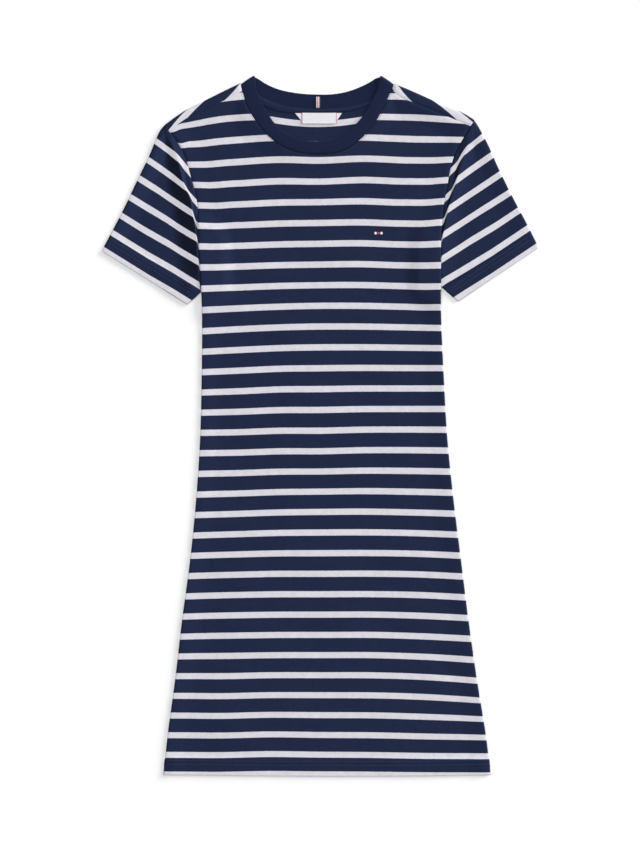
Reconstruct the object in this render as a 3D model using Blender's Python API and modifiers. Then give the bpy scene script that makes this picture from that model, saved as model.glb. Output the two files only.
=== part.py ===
"""Striped T-shirt dress in cotton jersey, laid flat on its back with the sleeves turned down.

Metres, +Z up. The dress rests on z = 0, its neck points to +Y, and +X is on the right as it is looked at
from above. The origin is at the middle of its outline. Sizes in the tables are millimetres: `drop` is
measured down the dress from the high point of the shoulder, `left` and `right` from the middle of the
outline, negative to the left. The cloth is a wall laid inside the skin that each piece shows.
"""
import math
from collections import namedtuple

import bmesh
import bpy
from mathutils import Vector
from mathutils.geometry import interpolate_bezier

# --- driving sizes -----------------------------------------------------------------------------------
MM = 0.001
LENGTH = 900.5 * MM        # high point of the shoulder to the lowest point of the hem
CLOTH = 1.2 * MM           # wall of the jersey panels
RIB = 2.0 * MM             # wall of the neckband, which is doubled rib
TRIM = 1.0 * MM            # wall of the label and of the hanger loop
LAY_GAP = 0.4 * MM         # between one cloth and the cloth that lies on it
SEAM_GAP = 0.5 * MM        # between two pieces where they are sewn together
SIDE_REVEAL = 0.6 * MM     # each body panel stops this much short of the middle of the side seam
SIDE_FULLNESS = 2.5        # the side rolls are a little squarer than a circle
FLAT = 2 * CLOTH + LAY_GAP # height of the front where it lies on the back
SHOULDER_FOLD = 3.1 * MM   # outer radius of the back where it folds over the shoulder
BAND_FOLD = 3.3 * MM       # outer radius of the neckband at its two folds
SIDE_ROLL = 2.2 * MM       # outer radius of the body along its side seams
SLEEVE_FOLD = 2.2 * MM     # outer radius of the sleeve along its upper fold, at the hem
TUCK_FOLD = 1.6 * MM       # outer radius of the sleeve along its underarm seam
SLEEVE_FLAT = 2 * TUCK_FOLD
SLEEVE_LENGTH = 183 * MM   # along the upper fold of the sleeve
FOLD_TAPER = 80 * MM       # the upper fold comes down from the shoulder's radius over this length
TUCK_BEND = 0.45           # the hidden end of the armhole seam bends at this share of its length
TUCK_BOW = 4               # and bows out there by this many seam gaps
TUCK_LIFT = SLEEVE_FLAT + 0.6 * MM  # the body is lifted this much where the sleeve passes below it
TUCK_REACH = 24 * MM       # how far round the tuck the body stays at that height
TUCK_RAMP = 22 * MM        # and how far it then takes to come down
ARMHOLE_RISE = 0.7 * MM    # the armhole seam stands this much above the flat cloth
NECK_FRONT = 4.8 * MM      # height of the front panel at the middle of the neck seam
BAND_FRONT = 5.2 * MM      # height of the neckband at the middle of the front
BAND_SWELL = 0.3 * MM      # the rib stands this much prouder between its edges
NECK_DEPTH = 103 * MM      # drop of the neck seam at the middle of the front
ARMHOLE_TOP = 64.0         # drop of the shoulder seam at the armhole, in millimetres
EASE = 26 * MM             # the cloth comes down from a raised edge over this width
RIDGE_MARGIN = 8 * MM      # the ridges of the body fade out over this width beside its rolled edges
RIDGE_TAPER = 0.4          # a ridge is lower by this share at its two ends
PULL_START = 0.55          # from this share of the length up, a bulge of the side moves
PULL_SPAN = 0.3            # less of the cloth, until at the armholes only this share of the width follows

# --- how finely each piece is divided ----------------------------------------------------------------
ROLL_STEPS = 3             # faces in a quarter turn of a rolled edge
SHOULDER_COLUMNS = 4
NECK_COLUMNS = 12
SIDE_LINES = 18
SIDE_CROWDING = 1.4        # above 1, the lines of the body lie closer towards the armhole
FLAP_LINES = 2
SLEEVE_LINES = 8
BAND_FOLD_STEPS = 6
BAND_COLUMNS = 3

Pair = namedtuple("Pair", "drop left right")
Point = namedtuple("Point", "across drop")
Fold = namedtuple("Fold", "edge seam outward")
Ridge = namedtuple("Ridge", "across drop to_across to_drop width height")
Finish = namedtuple("Finish", "name red green blue roughness")

# The side of the body, from the hem up to where the armhole seam comes out from below it.
SIDE = (
    Pair(898.6, -201.2, 219.0),
    Pair(853.7, -196.9, 213.9),
    Pair(776.6, -186.6, 201.7),
    Pair(699.4, -177.6, 190.7),
    Pair(622.3, -167.3, 181.1),
    Pair(545.1, -159.6, 171.5),
    Pair(468.0, -154.5, 163.7),
    Pair(390.9, -152.5, 159.2),
    Pair(339.4, -151.9, 156.7),
    Pair(295.7, -152.1, 155.2),
    Pair(250.0, -154.4, 155.2),
    Pair(210.9, -156.7, 155.2),
)
# The armhole seam, on up to where it turns over the shoulder.
ARMHOLE = (
    Pair(210.9, -156.7, 155.2),
    Pair(188.0, -157.2, 156.9),
    Pair(163.0, -158.3, 159.6),
    Pair(144.0, -162.2, 163.2),
    Pair(127.0, -167.1, 166.2),
    Pair(109.0, -172.0, 170.3),
    Pair(94.5, -177.9, 175.6),
    Pair(81.0, -186.6, 183.6),
    Pair(68.5, -196.7, 191.5),
)
# The hem, from side to side.
HEM = (Point(-201.2, 898.6), Point(-110.0, 899.6), Point(9.0, 900.5), Point(120.0, 900.1), Point(219.0, 898.6))
# The fold along the top of the shoulder, from the neckband out to the armhole.
FOLD_LEFT = (
    Point(-102.8, 9.2), Point(-121.0, 18.0), Point(-151.9, 33.4), Point(-172.5, 43.7),
    Point(-187.9, 54.0), Point(-198.8, 63.6),
)
FOLD_RIGHT = (
    Point(94.9, 9.8), Point(114.9, 18.0), Point(138.0, 28.3), Point(161.8, 38.6),
    Point(186.2, 48.9), Point(198.2, 57.0),
)
# The shoulder seam, a little forward of that fold.
SEAM_LEFT = (
    Point(-101.0, 17.0), Point(-124.0, 32.1), Point(-149.3, 42.9), Point(-169.3, 53.4), Point(-194.6, 70.6),
)
SEAM_RIGHT = (
    Point(92.6, 17.0), Point(100.8, 25.7), Point(119.8, 34.3), Point(156.3, 48.7), Point(193.2, 64.9),
)
# The seam that joins the neckband to the front, and to the back.
NECK_FRONT_SEAM = (
    Point(-101.0, 17.0), Point(-96.0, 35.0), Point(-89.9, 48.0), Point(-79.5, 66.1), Point(-58.3, 86.8),
    Point(-34.0, 98.6), Point(-4.2, 102.9), Point(28.6, 98.6), Point(51.6, 84.6), Point(71.3, 59.5),
    Point(84.0, 34.0), Point(92.6, 17.0),
)
NECK_BACK_SEAM = (
    Point(-101.9, 12.4), Point(-82.1, 24.6), Point(-55.2, 37.0), Point(-20.1, 42.7), Point(8.0, 43.1),
    Point(39.5, 39.9), Point(66.8, 31.0), Point(93.9, 12.8),
)
# The neck opening, which is the folded edge of the neckband.
NECK_FRONT_EDGE = (
    Point(-84.6, 3.4), Point(-82.5, 14.1), Point(-77.3, 29.6), Point(-70.4, 42.8), Point(-56.6, 63.4),
    Point(-33.0, 79.4), Point(-5.0, 83.3), Point(26.0, 77.0), Point(53.3, 53.5), Point(64.7, 35.0),
    Point(74.6, 13.6), Point(77.1, 3.4),
)
NECK_BACK_EDGE = (
    Point(-83.2, 1.2), Point(-60.8, 14.2), Point(-36.1, 21.6), Point(-4.0, 23.7), Point(35.3, 21.0),
    Point(58.2, 13.6), Point(76.0, 1.2),
)
# The two lines where the neckband folds: its end at the neck opening and its end at the neck seam.
BAND_FOLD_LEFT = (Point(-84.8, 0.0), Point(-102.0, 8.9))
BAND_FOLD_RIGHT = (Point(77.3, 0.1), Point(94.2, 9.5))
# The upper fold of each sleeve, from the shoulder to the hem.
SLEEVE_TOP_LEFT = (
    Point(-199.8, 64.2), Point(-209.4, 79.7), Point(-219.2, 100.3), Point(-234.2, 131.1),
    Point(-254.0, 172.3), Point(-281.1, 225.0),
)
SLEEVE_TOP_RIGHT = (
    Point(199.3, 57.4), Point(210.7, 79.7), Point(230.0, 120.9), Point(250.5, 162.0), Point(281.1, 220.5),
)
# The underarm seam of each sleeve, from the end that is tucked below the body to the hem.
UNDERARM_LEFT = (Point(-142.9, 267.4), Point(-153.2, 277.6), Point(-170.4, 293.8))
UNDERARM_RIGHT = (Point(145.1, 260.4), Point(155.5, 270.8), Point(177.1, 289.9))
# The lines below the sides of the body where the corners of the sleeves are tucked.
TUCKS = (
    (Point(-155.8, 218.6), Point(-153.2, 272.6)),
    (Point(155.4, 216.0), Point(155.5, 266.0)),
)
# The ridges of the cloth. Those of the sleeves run along the armhole, the others over the front.
SLEEVE_RIDGES = (
    Ridge(-181.0, 101.0, -166.0, 172.0, 13.0, 2.6),
    Ridge(-238.0, 196.0, -206.0, 238.0, 20.0, 0.5),
    Ridge(187.0, 92.0, 168.0, 168.0, 13.0, 2.4),
    Ridge(236.0, 190.0, 200.0, 214.0, 20.0, 0.5),
)
BODY_RIDGES = (
    Ridge(-146.0, 236.0, -84.0, 330.0, 22.0, 0.6),
    Ridge(140.0, 226.0, 98.0, 296.0, 20.0, 0.7),
    Ridge(138.0, 728.0, 170.0, 762.0, 16.0, 0.8),
    Ridge(-96.0, 640.0, -128.0, 880.0, 34.0, 0.6),
    Ridge(24.0, 560.0, 36.0, 850.0, 44.0, 0.5),
    Ridge(96.0, 420.0, 118.0, 640.0, 30.0, 0.5),
)
# The woven label hangs below the back neck seam, with its ends folded in at a slant.
LABEL = (Pair(47.8, -32.6, 28.0), Pair(56.6, -24.4, 21.8), Pair(61.1, -23.8, 21.2))
LABEL_COLUMNS = 6
# The hanger loop is a flat ribbon sewn to the inner face of the back neckband.
LOOP = (Pair(26.6, -6.2, 0.3), Pair(41.0, -6.2, 0.3))

JERSEY = Finish("cotton_jersey", 36, 43, 69, 0.85)
RIBBED = Finish("cotton_rib", 31, 38, 62, 0.85)
WOVEN = Finish("woven_label_tape", 226, 225, 229, 0.6)
RIBBON = Finish("grosgrain_ribbon", 196, 48, 66, 0.6)


# --- helpers -----------------------------------------------------------------------------------------
def plan(across, drop):
    """A place on the dress, in the frame of the part and at the height of the floor."""
    return Vector((across * MM, LENGTH / 2 - drop * MM, 0.0))


def plans(points):
    """The places of a row of points."""
    return [plan(point.across, point.drop) for point in points]


def fade(share):
    """One at the start, nothing from 1 on, with a soft change between."""
    share = min(max(share, 0.0), 1.0)
    return 1 - share * share * (3 - 2 * share)


def quarter(share, fullness=2.0):
    """The rise of a rolled edge, 0 at its edge and 1 from one radius in: a quarter circle, or a fuller one."""
    return max(0.0, 1 - (1 - min(share, 1.0)) ** fullness) ** (1 / fullness)


class Path:
    """A smooth line through a few places, read by the share of its length."""

    def __init__(self, knots, steps=12):
        tangents = [(knots[min(i + 1, len(knots) - 1)] - knots[max(i - 1, 0)]).normalized()
                    for i in range(len(knots))]
        self.places = [knots[0]]
        for i in range(len(knots) - 1):
            reach = (knots[i + 1] - knots[i]).length / 3
            stretch = interpolate_bezier(knots[i], knots[i] + tangents[i] * reach,
                                         knots[i + 1] - tangents[i + 1] * reach, knots[i + 1], steps)
            self.places.extend(stretch[1:])
        self.marks = [0.0]
        for start, end in zip(self.places, self.places[1:]):
            self.marks.append(self.marks[-1] + (end - start).length)

    def at(self, share):
        """The place at this share of the length."""
        mark = min(max(share, 0.0), 1.0) * self.marks[-1]
        i = 1
        while i < len(self.marks) - 1 and self.marks[i] < mark:
            i += 1
        span = self.marks[i] - self.marks[i - 1]
        return self.places[i - 1].lerp(self.places[i], (mark - self.marks[i - 1]) / span)

    def split(self, count):
        """Places that divide the line into equal lengths."""
        return [self.at(i / count) for i in range(count + 1)]


def near(place, start, end):
    """The distance in plan from a place to a straight line, and the share of the line where it is met."""
    run = end - start
    share = min(max((place - start).dot(run) / run.length_squared, 0.0), 1.0)
    return (place - start - run * share).length, share


def nearest(place, places, heights):
    """The distance to a broken line and the height that the line has there."""
    best = None
    for i in range(len(places) - 1):
        distance, share = near(place, places[i], places[i + 1])
        if best is None or distance < best[0]:
            best = (distance, heights[i] + (heights[i + 1] - heights[i]) * share)
    return best


def ridges(place, table):
    """How much the ridges of a table lift the cloth here."""
    rise = 0.0
    for ridge in table:
        start, end = plan(ridge.across, ridge.drop), plan(ridge.to_across, ridge.to_drop)
        distance, share = near(place, start, end)
        taper = 1 - RIDGE_TAPER * abs(2 * share - 1)
        rise += ridge.height * MM * fade(distance / (ridge.width * MM)) * taper
    return rise


def tuck_lift(place):
    """How much the body is lifted by the sleeves that are tucked below its sides."""
    lift = 0.0
    for tuck in TUCKS:
        distance, _ = near(place, *plans(tuck))
        lift = max(lift, TUCK_LIFT * fade((distance - TUCK_REACH) / TUCK_RAMP))
    return lift


def patch(top, bottom, left, right):
    """Rows of places between four edges, each a list of places. The rows run from bottom to top."""
    across = [(place.x - top[0].x) / (top[-1].x - top[0].x) for place in top]
    along = [(place.y - left[0].y) / (left[-1].y - left[0].y) for place in left]
    rows = []
    for j, v in enumerate(along):
        row = []
        for i, u in enumerate(across):
            bulge_left = left[j] - bottom[0].lerp(top[0], v)
            bulge_right = right[j] - bottom[-1].lerp(top[-1], v)
            row.append(bottom[i].lerp(top[i], v) + bulge_left * side_pull(u, v) + bulge_right * side_pull(1 - u, v))
        rows.append(row)
    return rows


def side_pull(u, v):
    """How much a place follows the bulge of a side: evenly in the skirt, only nearby at the armholes."""
    nearby = 1 - fade((v - PULL_START) / PULL_SPAN)
    return (1 - u) + (fade(u / PULL_SPAN) - (1 - u)) * nearby


def roll(edge, towards, radius):
    """An edge place and those in from it, spaced as on a rolled edge seen from above."""
    inward = (towards - edge).normalized()
    quarter_turn = math.pi / 2
    return [edge + inward * radius * (1 - math.cos(quarter_turn * k / ROLL_STEPS)) for k in range(ROLL_STEPS + 1)]


def with_rolls(row, first_radius, last_radius):
    """A row with more places near both ends, for its rolled edges."""
    return roll(row[0], row[1], first_radius) + row[1:-1] + roll(row[-1], row[-2], last_radius)[::-1]


def make_material(finish):
    """The plain finish of one piece."""
    material = bpy.data.materials.new(finish.name)
    material.use_nodes = True
    surface = material.node_tree.nodes["Principled BSDF"]
    linear = [((value / 255 + 0.055) / 1.055) ** 2.4 for value in (finish.red, finish.green, finish.blue)]
    surface.inputs["Base Color"].default_value = (*linear, 1.0)
    surface.inputs["Roughness"].default_value = finish.roughness
    surface.inputs["Metallic"].default_value = 0.0
    return material


def sheet(name, rows, wall, finish, probe, looks_up=True, closed=False):
    """One named solid: rows of places make the skin, and Solidify lays the wall inside it.

    The skin at the probe, a line and a column, is turned to look up or down. A closed skin joins its last
    column to its first. A place that is None is left out of the skin.
    """
    columns, lines = len(rows[0]) - 1, len(rows) - 1
    skin = bmesh.new()
    bmesh.ops.create_grid(skin, x_segments=columns, y_segments=lines, size=1.0)
    spare = []
    for vert in skin.verts:
        place = rows[round((vert.co.y + 1) / 2 * lines)][round((vert.co.x + 1) / 2 * columns)]
        if place is None:
            spare.append(vert)
        else:
            vert.co = place
    bmesh.ops.delete(skin, geom=spare, context="VERTS")
    if closed:
        bmesh.ops.remove_doubles(skin, verts=skin.verts, dist=0.00001)
    line, column = probe
    corner = rows[line][column]
    normal = (rows[line][column + 1] - corner).cross(rows[line + 1][column] - corner)
    if (normal.z > 0) != looks_up:
        bmesh.ops.reverse_faces(skin, faces=skin.faces)
    mesh = bpy.data.meshes.new(name)
    skin.to_mesh(mesh)
    skin.free()
    mesh.shade_smooth()
    mesh.materials.append(make_material(finish))
    piece = bpy.data.objects.new(name, mesh)
    cloth = piece.modifiers.new("wall", "SOLIDIFY")
    cloth.thickness = wall
    cloth.offset = -1.0
    cloth.use_even_offset = True
    cloth.use_quality_normals = True
    return piece


# --- the body ----------------------------------------------------------------------------------------
def side_edge(side):
    """The edge of a body panel from the hem to the shoulder: the side seam, then the armhole seam."""
    seam = Path([plan(getattr(row, side), row.drop) for row in SIDE])
    lines = [seam.at(1 - (1 - k / SIDE_LINES) ** SIDE_CROWDING) for k in range(SIDE_LINES)]
    return lines + armhole_edge(side)


def armhole_edge(side):
    """The places of the armhole seam, from below the arm to the shoulder."""
    return [plan(getattr(row, side), row.drop) for row in ARMHOLE]


def roll_share(line):
    """How far a line of a body panel has a rolled edge: all of it at the side seam, none at the armhole."""
    return min(max(SIDE_LINES + 0.5 - line, 0.0), 1.0)


def armhole_height(drop):
    """The height of the cloth along the armhole seam, which comes down from the shoulder."""
    over_shoulder = (2 * SHOULDER_FOLD - FLAT) * fade((drop - ARMHOLE_TOP) * MM / (2 * EASE))
    return FLAT + math.hypot(ARMHOLE_RISE, over_shoulder)


def neck_height(place, middle):
    """The height along the neck seam or edge, from the shoulder's height down to that at the middle."""
    return middle + (2 * SHOULDER_FOLD - middle) * fade((LENGTH / 2 - place.y) / NECK_DEPTH)


def front_panel():
    """The front, which lies on the back and is rolled down to it along the side seams."""
    _, (left_seam, right_seam) = shoulder_lines()
    down = Vector((0, SEAM_GAP, 0))
    top = [place - down for place in left_seam] + front_neck()[1:-1] + [place - down for place in right_seam]
    left, right = side_edge("left"), side_edge("right")
    left[-1], right[-1] = top[0], top[-1]
    across = [(place.x - top[0].x) / (top[-1].x - top[0].x) for place in top]
    hem_path = Path(plans(HEM))
    bottom = [hem_path.at(share) for share in across]
    top_heights = [neck_height(place, NECK_FRONT) for place in top]
    for i in (*range(SHOULDER_COLUMNS + 1), *range(-1, -SHOULDER_COLUMNS - 2, -1)):
        top_heights[i] = 2 * SHOULDER_FOLD
    rows = []
    for line, row in enumerate(patch(top, bottom, left, right)):
        rolled = roll_share(line)
        row = with_rolls(row, SIDE_ROLL, SIDE_ROLL)
        raised = []
        for place in row:
            edge = min((place - row[0]).length, (place - row[-1]).length)
            drop = (LENGTH / 2 - place.y) / MM
            crest = (2 * SIDE_ROLL - FLAT) * fade((edge - SIDE_ROLL) / EASE)
            turned = SIDE_ROLL + (FLAT + crest - SIDE_ROLL) * quarter(edge / SIDE_ROLL, SIDE_FULLNESS)
            turned = max(turned, SIDE_ROLL + SIDE_REVEAL)
            cut = FLAT + (armhole_height(drop) - FLAT) * fade(edge / EASE)
            over_side = cut + (turned - cut) * rolled - FLAT
            distance, height = nearest(place, top, top_heights)
            over_top = (height - FLAT) * fade(distance / EASE)
            if over_side > 0:
                rise = max(over_side, over_top)
            else:
                rise = over_side + over_top
            inner = 1 - fade((edge - SIDE_ROLL) / RIDGE_MARGIN)
            place = place.copy()
            place.z = tuck_lift(place) + FLAT + rise + ridges(place, BODY_RIDGES) * inner
            raised.append(place)
        rows.append(raised)
    middle = len(rows[0]) // 2
    return sheet("front_panel", rows, CLOTH, JERSEY, (SIDE_LINES // 2, middle))


def back_panel():
    """The back, flat on the floor, with a flap that folds over each shoulder to the shoulder seam."""
    folds, seams = shoulder_lines()
    starts = [[fold + (seam - fold).normalized() * SHOULDER_FOLD for fold, seam in zip(*pair)]
              for pair in zip(folds, seams)]
    top = starts[0] + back_neck()[1:-1] + starts[1]
    left, right = side_edge("left"), side_edge("right")
    left[-1], right[-1] = top[0], top[-1]
    hem_path = Path(plans(HEM))
    bottom = [hem_path.at((place.x - top[0].x) / (top[-1].x - top[0].x)) for place in top]
    rows = []
    for line, row in enumerate(patch(top, bottom, left, right)):
        row = with_rolls(row, SIDE_ROLL, SIDE_ROLL)
        raised = []
        for place in row:
            edge = min((place - row[0]).length, (place - row[-1]).length)
            turned = SIDE_ROLL * (1 - quarter(edge / SIDE_ROLL, SIDE_FULLNESS))
            turned = min(turned, SIDE_ROLL - SIDE_REVEAL)
            place = place.copy()
            place.z = tuck_lift(place) + turned * roll_share(line)
            raised.append(place)
        rows.append(raised)
    rows.extend(shoulder_flaps(folds, seams))
    return sheet("back_panel", rows, CLOTH, JERSEY, (SIDE_LINES // 2, len(rows[0]) // 2), looks_up=False)


def shoulder_lines():
    """The places of both shoulder folds and of both shoulder seams, each from left to right."""
    folds = [Path(plans(reversed(FOLD_LEFT))).split(SHOULDER_COLUMNS),
             Path(plans(FOLD_RIGHT)).split(SHOULDER_COLUMNS)]
    seams = [Path(plans(reversed(SEAM_LEFT))).split(SHOULDER_COLUMNS),
             Path(plans(SEAM_RIGHT)).split(SHOULDER_COLUMNS)]
    return folds, seams


def front_neck():
    """The places of the neck seam on the front, from left to right."""
    return Path(plans(NECK_FRONT_SEAM)).split(NECK_COLUMNS)


def back_neck():
    """The places of the neck seam on the back, from left to right."""
    return Path(plans(NECK_BACK_SEAM)).split(NECK_COLUMNS)


def shoulder_flaps(folds, seams):
    """The lines of the back that turn over the shoulder folds and run on to the shoulder seams."""
    turn_lines = 2 * ROLL_STEPS
    lines = []
    for step in range(1, turn_lines + FLAP_LINES + 1):
        sides = []
        for fold_line, seam_line in zip(folds, seams):
            side = []
            for fold, seam in zip(fold_line, seam_line):
                reach = (seam - fold).length
                inward = (seam - fold) / reach
                if step <= turn_lines:
                    angle = math.pi * step / turn_lines
                    away = SHOULDER_FOLD * (1 - math.sin(angle))
                    height = SHOULDER_FOLD * (1 - math.cos(angle))
                else:
                    away = SHOULDER_FOLD + (reach - SHOULDER_FOLD) * (step - turn_lines) / FLAP_LINES
                    height = 2 * SHOULDER_FOLD
                side.append(fold + inward * away + Vector((0, 0, height)))
            sides.append(side)
        left, right = sides
        left_edge = roll(left[0], left[1], SIDE_ROLL)
        right_edge = roll(right[-1], right[-2], SIDE_ROLL)[::-1]
        lines.append([*left_edge, *left[1:], *[None] * (NECK_COLUMNS - 1), *right[:-1], *right_edge])
    return lines


# --- the sleeves -------------------------------------------------------------------------------------
def sleeve(name, side, sleeve_top, underarm, outward):
    """One sleeve: a flattened tube from the armhole to the hem, with its inner corner tucked away."""
    away = Vector((outward * SEAM_GAP, 0, 0))
    seam = [place + away for place in reversed(armhole_edge(side))]
    top_path, under_path = Path(plans(sleeve_top)), Path(plans(underarm))
    bend = seam[-1].lerp(under_path.at(0), TUCK_BEND) + away * TUCK_BOW
    edge = [top_path.at(0), *seam, bend, under_path.at(0)]
    reach = [0.0]
    for start, end in zip(edge, edge[1:]):
        reach.append(reach[-1] + (end - start).length)
    hem = [top_path.at(1).lerp(under_path.at(1), length / reach[-1]) for length in reach]
    seam_heights = [armhole_height((LENGTH / 2 - place.y) / MM) for place in seam]
    stations = range(SLEEVE_LINES + 1)
    outer = [top_path.at(line / SLEEVE_LINES) for line in stations]
    inner = [under_path.at(line / SLEEVE_LINES) for line in stations]
    rows = []
    for line in stations:
        v = line / SLEEVE_LINES
        row = []
        for i, length in enumerate(reach):
            u = length / reach[-1]
            corners = edge[0].lerp(edge[-1], u).lerp(hem[0].lerp(hem[-1], u), v)
            row.append(edge[i].lerp(hem[i], v) + outer[line].lerp(inner[line], u) - corners)
        fold = SLEEVE_FOLD + (SHOULDER_FOLD - SLEEVE_FOLD) * fade(v * SLEEVE_LENGTH / FOLD_TAPER)
        front, back = [], []
        for place in with_rolls(row, fold, TUCK_FOLD):
            from_fold, from_seam = (place - row[0]).length, (place - row[-1]).length
            distance, height = nearest(place, seam, seam_heights)
            over_fold = (2 * fold - SLEEVE_FLAT) * fade((from_fold - fold) / EASE)
            over_seam = (height - SLEEVE_FLAT) * fade(distance / EASE)
            crest = max(over_fold, over_seam) + ridges(place, SLEEVE_RIDGES)
            crest = SLEEVE_FLAT + crest * (1 - fade(from_seam / EASE))
            if from_fold < from_seam:
                middle, round_off = fold, quarter(from_fold / fold)
            else:
                middle, round_off = TUCK_FOLD, quarter(from_seam / TUCK_FOLD)
            front.append(place + Vector((0, 0, middle + (crest - middle) * round_off)))
            back.append(place + Vector((0, 0, middle * (1 - round_off))))
        rows.append(front + back[-2:0:-1] + front[:1])
    return sheet(name, rows, CLOTH, JERSEY, (SLEEVE_LINES - 2, ROLL_STEPS + 2), closed=True)


# --- the neckband and trims --------------------------------------------------------------------------
def neckband():
    """The neckband: a ring of doubled rib, folded flat at the two ends of the shoulders."""
    folds = [band_fold(BAND_FOLD_LEFT), band_fold(BAND_FOLD_RIGHT)]
    halves = []
    for edge_table, seam, front in ((NECK_FRONT_EDGE, front_neck(), True), (NECK_BACK_EDGE, back_neck(), False)):
        edge_path = Path([folds[0].edge, *plans(edge_table)[1:-1], folds[1].edge])
        sewn = seam if front else seam[1:-1]
        stations = [(folds[0].edge, folds[0].seam, 2 * BAND_FOLD * front)]
        for i, place in enumerate(sewn):
            edge = edge_path.at((i + 1) / (len(sewn) + 1))
            height = 0.0
            if front:
                height = min(neck_height(place, BAND_FRONT) + 2 * (BAND_FOLD - SHOULDER_FOLD), 2 * BAND_FOLD)
            stations.append((edge, place + (edge - place).normalized() * SEAM_GAP, height))
        stations.append((folds[1].edge, folds[1].seam, 2 * BAND_FOLD * front))
        halves.append(stations)
    front, back = halves
    ring = front + band_turn(folds[1], 0, math.pi) + back[::-1] + band_turn(folds[0], math.pi, 0) + front[:1]
    rows = []
    for column in range(BAND_COLUMNS + 1):
        share = column / BAND_COLUMNS
        row = []
        for edge, seam, height in ring:
            swell = BAND_SWELL * math.sin(math.pi * share) * height / (2 * BAND_FOLD)
            row.append(edge.lerp(seam, share) + Vector((0, 0, height + swell)))
        rows.append(row)
    return sheet("neckband", rows, RIB, RIBBED, (1, NECK_COLUMNS // 2), closed=True)


def band_turn(fold, start, end):
    """The stations of the neckband round one of its folds; an angle of 0 is on top of the dress."""
    stations = []
    for step in range(1, BAND_FOLD_STEPS):
        angle = start + (end - start) * step / BAND_FOLD_STEPS
        swing = fold.outward * BAND_FOLD * math.sin(angle)
        stations.append((fold.edge + swing, fold.seam + swing, BAND_FOLD * (1 + math.cos(angle))))
    return stations


def band_fold(line):
    """A fold of the neckband, moved in by its radius, and the way from it out of the dress."""
    edge, seam = plans(line)
    run = (seam - edge).normalized()
    outward = Vector((-run.y, run.x, 0)) if run.x > 0 else Vector((run.y, -run.x, 0))
    return Fold(edge - outward * BAND_FOLD, seam - outward * BAND_FOLD, outward)


def trim(name, table, columns, height, finish):
    """A flat trim whose width follows a table, lying at one height."""
    rows = []
    for row in table:
        ends = plan(row.left, row.drop), plan(row.right, row.drop)
        rows.append([ends[0].lerp(ends[1], i / columns) + Vector((0, 0, height + TRIM))
                     for i in range(columns + 1)])
    return sheet(name, rows, TRIM, finish, (0, 0))


def main():
    """Clear the scene and make the pieces in their collection."""
    for old in list(bpy.data.objects):
        bpy.data.objects.remove(old)
    dress = bpy.data.collections.new("t_shirt_dress")
    bpy.context.scene.collection.children.link(dress)
    pieces = (
        back_panel(),
        front_panel(),
        sleeve("sleeve_left", "left", SLEEVE_TOP_LEFT, UNDERARM_LEFT, -1),
        sleeve("sleeve_right", "right", SLEEVE_TOP_RIGHT, UNDERARM_RIGHT, 1),
        neckband(),
        trim("neck_label", LABEL, LABEL_COLUMNS, CLOTH + LAY_GAP, WOVEN),
        trim("hanger_loop", LOOP, 2, RIB + LAY_GAP, RIBBON),
    )
    for piece in pieces:
        dress.objects.link(piece)


main()
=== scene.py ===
"""Striped T-shirt dress in cotton jersey, laid flat: the finished look of every piece.

Metres, +Z up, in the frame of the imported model: the dress lies on z = 0 with its neck towards +Y. Sizes in
the tables are millimetres: `across` is measured from the middle of the outline, `drop` down the dress from
the high point of the shoulder. Every piece carries a UV map named "cloth", in metres along the cloth, which
the stripes and the knit follow.
"""
import logging
import math
from dataclasses import dataclass, field
from enum import Enum
from typing import Callable, NamedTuple, Optional, Sequence

import bmesh
import bpy
import numpy as np
from mathutils import Matrix, Vector


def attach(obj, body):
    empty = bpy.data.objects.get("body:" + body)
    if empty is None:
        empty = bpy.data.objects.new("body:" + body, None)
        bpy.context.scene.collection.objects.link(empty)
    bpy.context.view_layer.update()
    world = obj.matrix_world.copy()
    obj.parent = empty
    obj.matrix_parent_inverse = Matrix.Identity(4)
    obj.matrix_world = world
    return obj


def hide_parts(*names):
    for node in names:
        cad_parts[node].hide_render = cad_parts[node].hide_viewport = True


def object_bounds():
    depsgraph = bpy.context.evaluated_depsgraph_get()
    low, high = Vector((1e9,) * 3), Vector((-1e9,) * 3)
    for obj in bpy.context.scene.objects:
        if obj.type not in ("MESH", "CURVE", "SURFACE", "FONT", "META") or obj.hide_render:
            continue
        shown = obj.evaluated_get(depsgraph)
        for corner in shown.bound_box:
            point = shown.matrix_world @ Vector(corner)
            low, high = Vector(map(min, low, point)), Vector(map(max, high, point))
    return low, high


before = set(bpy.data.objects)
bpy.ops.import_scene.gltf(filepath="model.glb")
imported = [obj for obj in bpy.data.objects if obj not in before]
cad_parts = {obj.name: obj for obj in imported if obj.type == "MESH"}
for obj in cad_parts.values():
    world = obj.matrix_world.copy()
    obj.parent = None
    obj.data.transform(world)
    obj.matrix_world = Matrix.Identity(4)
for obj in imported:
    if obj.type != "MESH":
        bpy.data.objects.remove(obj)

LOG = logging.getLogger("dress")
Array = np.ndarray
Piece, Material, Socket = bpy.types.Object, bpy.types.Material, bpy.types.NodeSocket
Operand = Socket | float | tuple    # what leads to a node's input: a link, a number or a colour
MM = 0.001
CAD_LOW, CAD_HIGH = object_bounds()
TOP = CAD_HIGH.y            # the high point of the shoulder, where drop is 0
ROOT = "root"
UV_NAME = "cloth"
MERGE = 0.02 * MM           # places closer together than this are one
NEAR_SIDE = 0.3             # the share of the width, or of the length, over which a side's bulge dies out
CREASE_ENDS = (0.06, 0.94)  # the shares of a crease's length beyond which it is as low as there


# --- small tools ---
class Point(NamedTuple):
    """A place on the dress, in millimetres."""

    across: float
    drop: float


class Pair(NamedTuple):
    """Where two edges lie at one drop, in millimetres."""

    drop: float
    left: float
    right: float


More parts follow.
